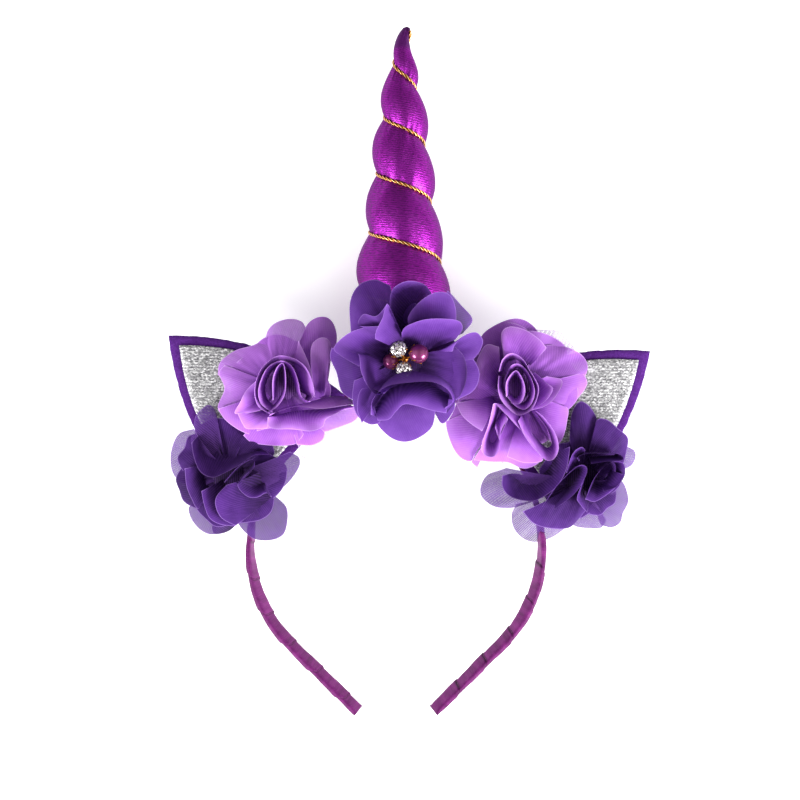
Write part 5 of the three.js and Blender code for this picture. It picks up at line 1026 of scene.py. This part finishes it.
BEAD_REACH = 33  # the radius of the centre flower, which measures the places of its beads
centre_place = band_frame @ Matrix.Translation((0.06 * BAND_HALF_WIDTH, 1.219 * ARCH_HEIGHT, CENTRE_PAD))
BEADS = {
    "pearl_large": (4.0, (0.175, 0.077, 0.36)),
    "pearl_small": (3.2, (-0.18, -0.03, 0.28)),
    "crystal_upper": (3.4, (-0.08, 0.14, 0.4)),
    "crystal_lower": (3.3, (-0.01, -0.125, 0.37)),
}


def bead_centre(node):
    return np.array(BEADS[node][1]) * BEAD_REACH


def ball(radius, centre, segments, rings):
    a = 2 * math.pi * np.arange(segments) / segments
    b = np.linspace(0, math.pi, rings + 1)[:, None]
    points = np.stack([np.sin(b) * np.cos(a), np.sin(b) * np.sin(a), np.cos(b) + 0 * a], 2).reshape(-1, 3)
    return points * radius + centre, grid_faces(rings + 1, segments, wrap=True)[:, ::-1]


def pearl_bead(node):
    points, faces = ball(BEADS[node][0], bead_centre(node), 48, 24)
    dressed(node, node + "_bead", placed(points, centre_place), faces, pearl_coat, points[:, :2])


def crystal_bead(node, seed):
    """A ball set all over with small cut stones."""
    radius = BEADS[node][0]
    centre = bead_centre(node)
    rng = random.Random(seed)
    body, body_faces = ball(radius * 0.84, centre, 24, 12)
    # The ball under the stones is the darkest grey.
    points, tone_and_glint = [body], [np.full(len(body), 0.05)]
    faces = [list(f) for f in body_faces]
    total = len(body)
    stones = 44
    for i in range(stones):
        z = 1 - 2 * (i + 0.5) / stones
        a = i * math.pi * (3 - 5 ** 0.5)
        out = Vector((math.sqrt(1 - z * z) * math.cos(a), math.sqrt(1 - z * z) * math.sin(a), z))
        turn = out.to_track_quat("Z", "Y").to_matrix() @ Matrix.Rotation(rng.uniform(0, 1), 3, "Z")
        rings = []
        for width, height in ((0.27, 0.84), (0.24, 0.95), (0.13, 1.02)):
            for k in range(8):
                b = 2 * math.pi * (k + 0.5 * (width < 0.26)) / 8
                rings.append(np.array(turn @ Vector((math.cos(b), math.sin(b), 0))) * width + np.array(out) * height)
        for level in range(2):
            for k in range(8):
                j = (k + 1) % 8
                quad = [rings[level * 8 + k], rings[level * 8 + j], rings[level * 8 + 8 + j], rings[level * 8 + 8 + k]]
                points.append(np.array(quad) * radius + centre)
                # Each facet gets a random grey up to near white, a painted reflection.
                tone_and_glint.append(np.full(4, rng.random()))
                faces.append(list(range(total, total + 4)))
                total += 4
        points.append(np.array(rings[16:]) * radius + centre)
        # Each stone's table gets a lighter painted reflection.
        tone_and_glint.append(np.full(8, rng.uniform(0.35, 1.0)))
        faces.append(list(range(total, total + 8)))
        total += 8
    points = np.concatenate(points)
    dressed(node, node + "_stones", placed(points, centre_place), faces, cut_stone, points[:, :2],
            {"tone_and_glint": np.concatenate(tone_and_glint)}, smooth=False)


def rod(points, faces, start, end, radius, sides):
    """Adds a straight round rod to lists of points and faces."""
    first = len(points)
    start, end = Vector(start), Vector(end)
    turn = (end - start).to_track_quat("Z", "Y").to_matrix()
    for centre in (start, end):
        for k in range(sides):
            a = 2 * math.pi * k / sides
            points.append(tuple(turn @ Vector((radius * math.cos(a), radius * math.sin(a), 0)) + centre))
    for k in range(sides):
        j = (k + 1) % sides
        faces.append([first + k, first + j, first + sides + j, first + sides + k])
    faces.append([first + k for k in range(sides)][::-1])
    faces.append([first + sides + k for k in range(sides)])


def bead_wire():
    """Wire stems from a small foot on the flower's core to each bead, which sits in a crown of prongs."""
    foot = np.array((0, 0, PAD_THICKNESS + CORE_RISE * BEAD_REACH + SEAT_GAP))
    middle = foot + (0, 0, 0.45)
    points, faces = [], []
    rod(points, faces, foot, foot + (0, 0, 0.9), 1.4, 24)
    for node in BEADS:
        radius = BEADS[node][0]
        centre = bead_centre(node)
        way = (centre - middle) / np.linalg.norm(centre - middle)
        rod(points, faces, middle, centre - way * radius * 0.9, 0.4, 10)
        side = np.cross(way, (0.3, 0.2, 0.9))
        side /= np.linalg.norm(side)
        other = np.cross(way, side)
        for k in range(6):
            b = 2 * math.pi * k / 6
            out = side * math.cos(b) + other * math.sin(b)
            rod(points, faces, centre - way * radius * 1.05 + out * 0.3, centre - way * radius * 0.6 + out * radius * 0.84,
                0.2, 6)
            rod(points, faces, centre - way * radius * 0.6 + out * radius * 0.84,
                centre - way * radius * 0.1 + out * radius * 1.04, 0.2, 6)
    points = np.array(points)
    # The wire gets one middle level of the gold's painted shade and highlight.
    dressed("bead_wire", "bead_wire_gold", placed(points, centre_place), faces, wire_gold, points[:, :2],
            {"strand_light": np.full(len(points), 0.45)})


pearl_bead("pearl_large")
pearl_bead("pearl_small")
crystal_bead("crystal_upper", 11)
crystal_bead("crystal_lower", 12)
bead_wire()

# Floor, light and camera


def floor():
    n = Nodes("floor")
    n.set(Base_Color=(*hexed("f8f8f8"), 1), Roughness=0.9)
    n.shader.inputs["Emission Color"].default_value = (1, 1, 1, 1)
    n.shader.inputs["Emission Strength"].default_value = 0.36
    n.shader.inputs["Specular IOR Level"].default_value = 0.1
    size = 4.0
    mesh = bpy.data.meshes.new("floor")
    mesh.from_pydata([(-size, -size, 0), (size, -size, 0), (size, size, 0), (-size, size, 0)], [], [(0, 1, 2, 3)])
    mesh.materials.append(n.material)
    piece = bpy.data.objects.new("floor", mesh)
    bpy.context.collection.objects.link(piece)


def area_light(name, place, size, power):
    data = bpy.data.lights.new(name, "AREA")
    data.shape = "RECTANGLE"
    data.size, data.size_y = size
    data.energy = power
    light = bpy.data.objects.new(name, data)
    light.location = place
    light.rotation_euler = (Vector((0, 0, 0.03)) - Vector(place)).to_track_quat("-Z", "Y").to_euler()
    bpy.context.collection.objects.link(light)


floor()
area_light("low_left", (-0.8, -0.55, 0.42), (0.5, 0.5), 17)
area_light("low_right", (0.8, -0.55, 0.42), (0.5, 0.5), 23)
area_light("soft_left", (-1.1, 0.15, 1.1), (1.6, 1.6), 6)
area_light("soft_right", (1.1, 0.15, 1.1), (1.6, 1.6), 8)
world = bpy.data.worlds.new("studio")
world.use_nodes = True
world.node_tree.nodes["Background"].inputs["Color"].default_value = (1, 1, 1, 1)
world.node_tree.nodes["Background"].inputs["Strength"].default_value = 0.36
bpy.context.scene.world = world
bpy.context.scene.view_settings.view_transform = "Standard"

origin = band_frame @ Vector((0, 0, 0))
SCALE = 0.42  # millimetres for each pixel of the photograph
DISTANCE = 3000.0
lens = bpy.data.cameras.new("camera")
lens.sensor_width = 36
lens.lens = 36 * (DISTANCE - 15) / (800 * SCALE)
lens.clip_start, lens.clip_end = 0.05, 20
camera = bpy.data.objects.new("camera", lens)
camera.location = ((origin.x + 4 * SCALE) * MM, (origin.y + 148 * SCALE) * MM, DISTANCE * MM)
bpy.context.collection.objects.link(camera)
bpy.context.scene.camera = camera
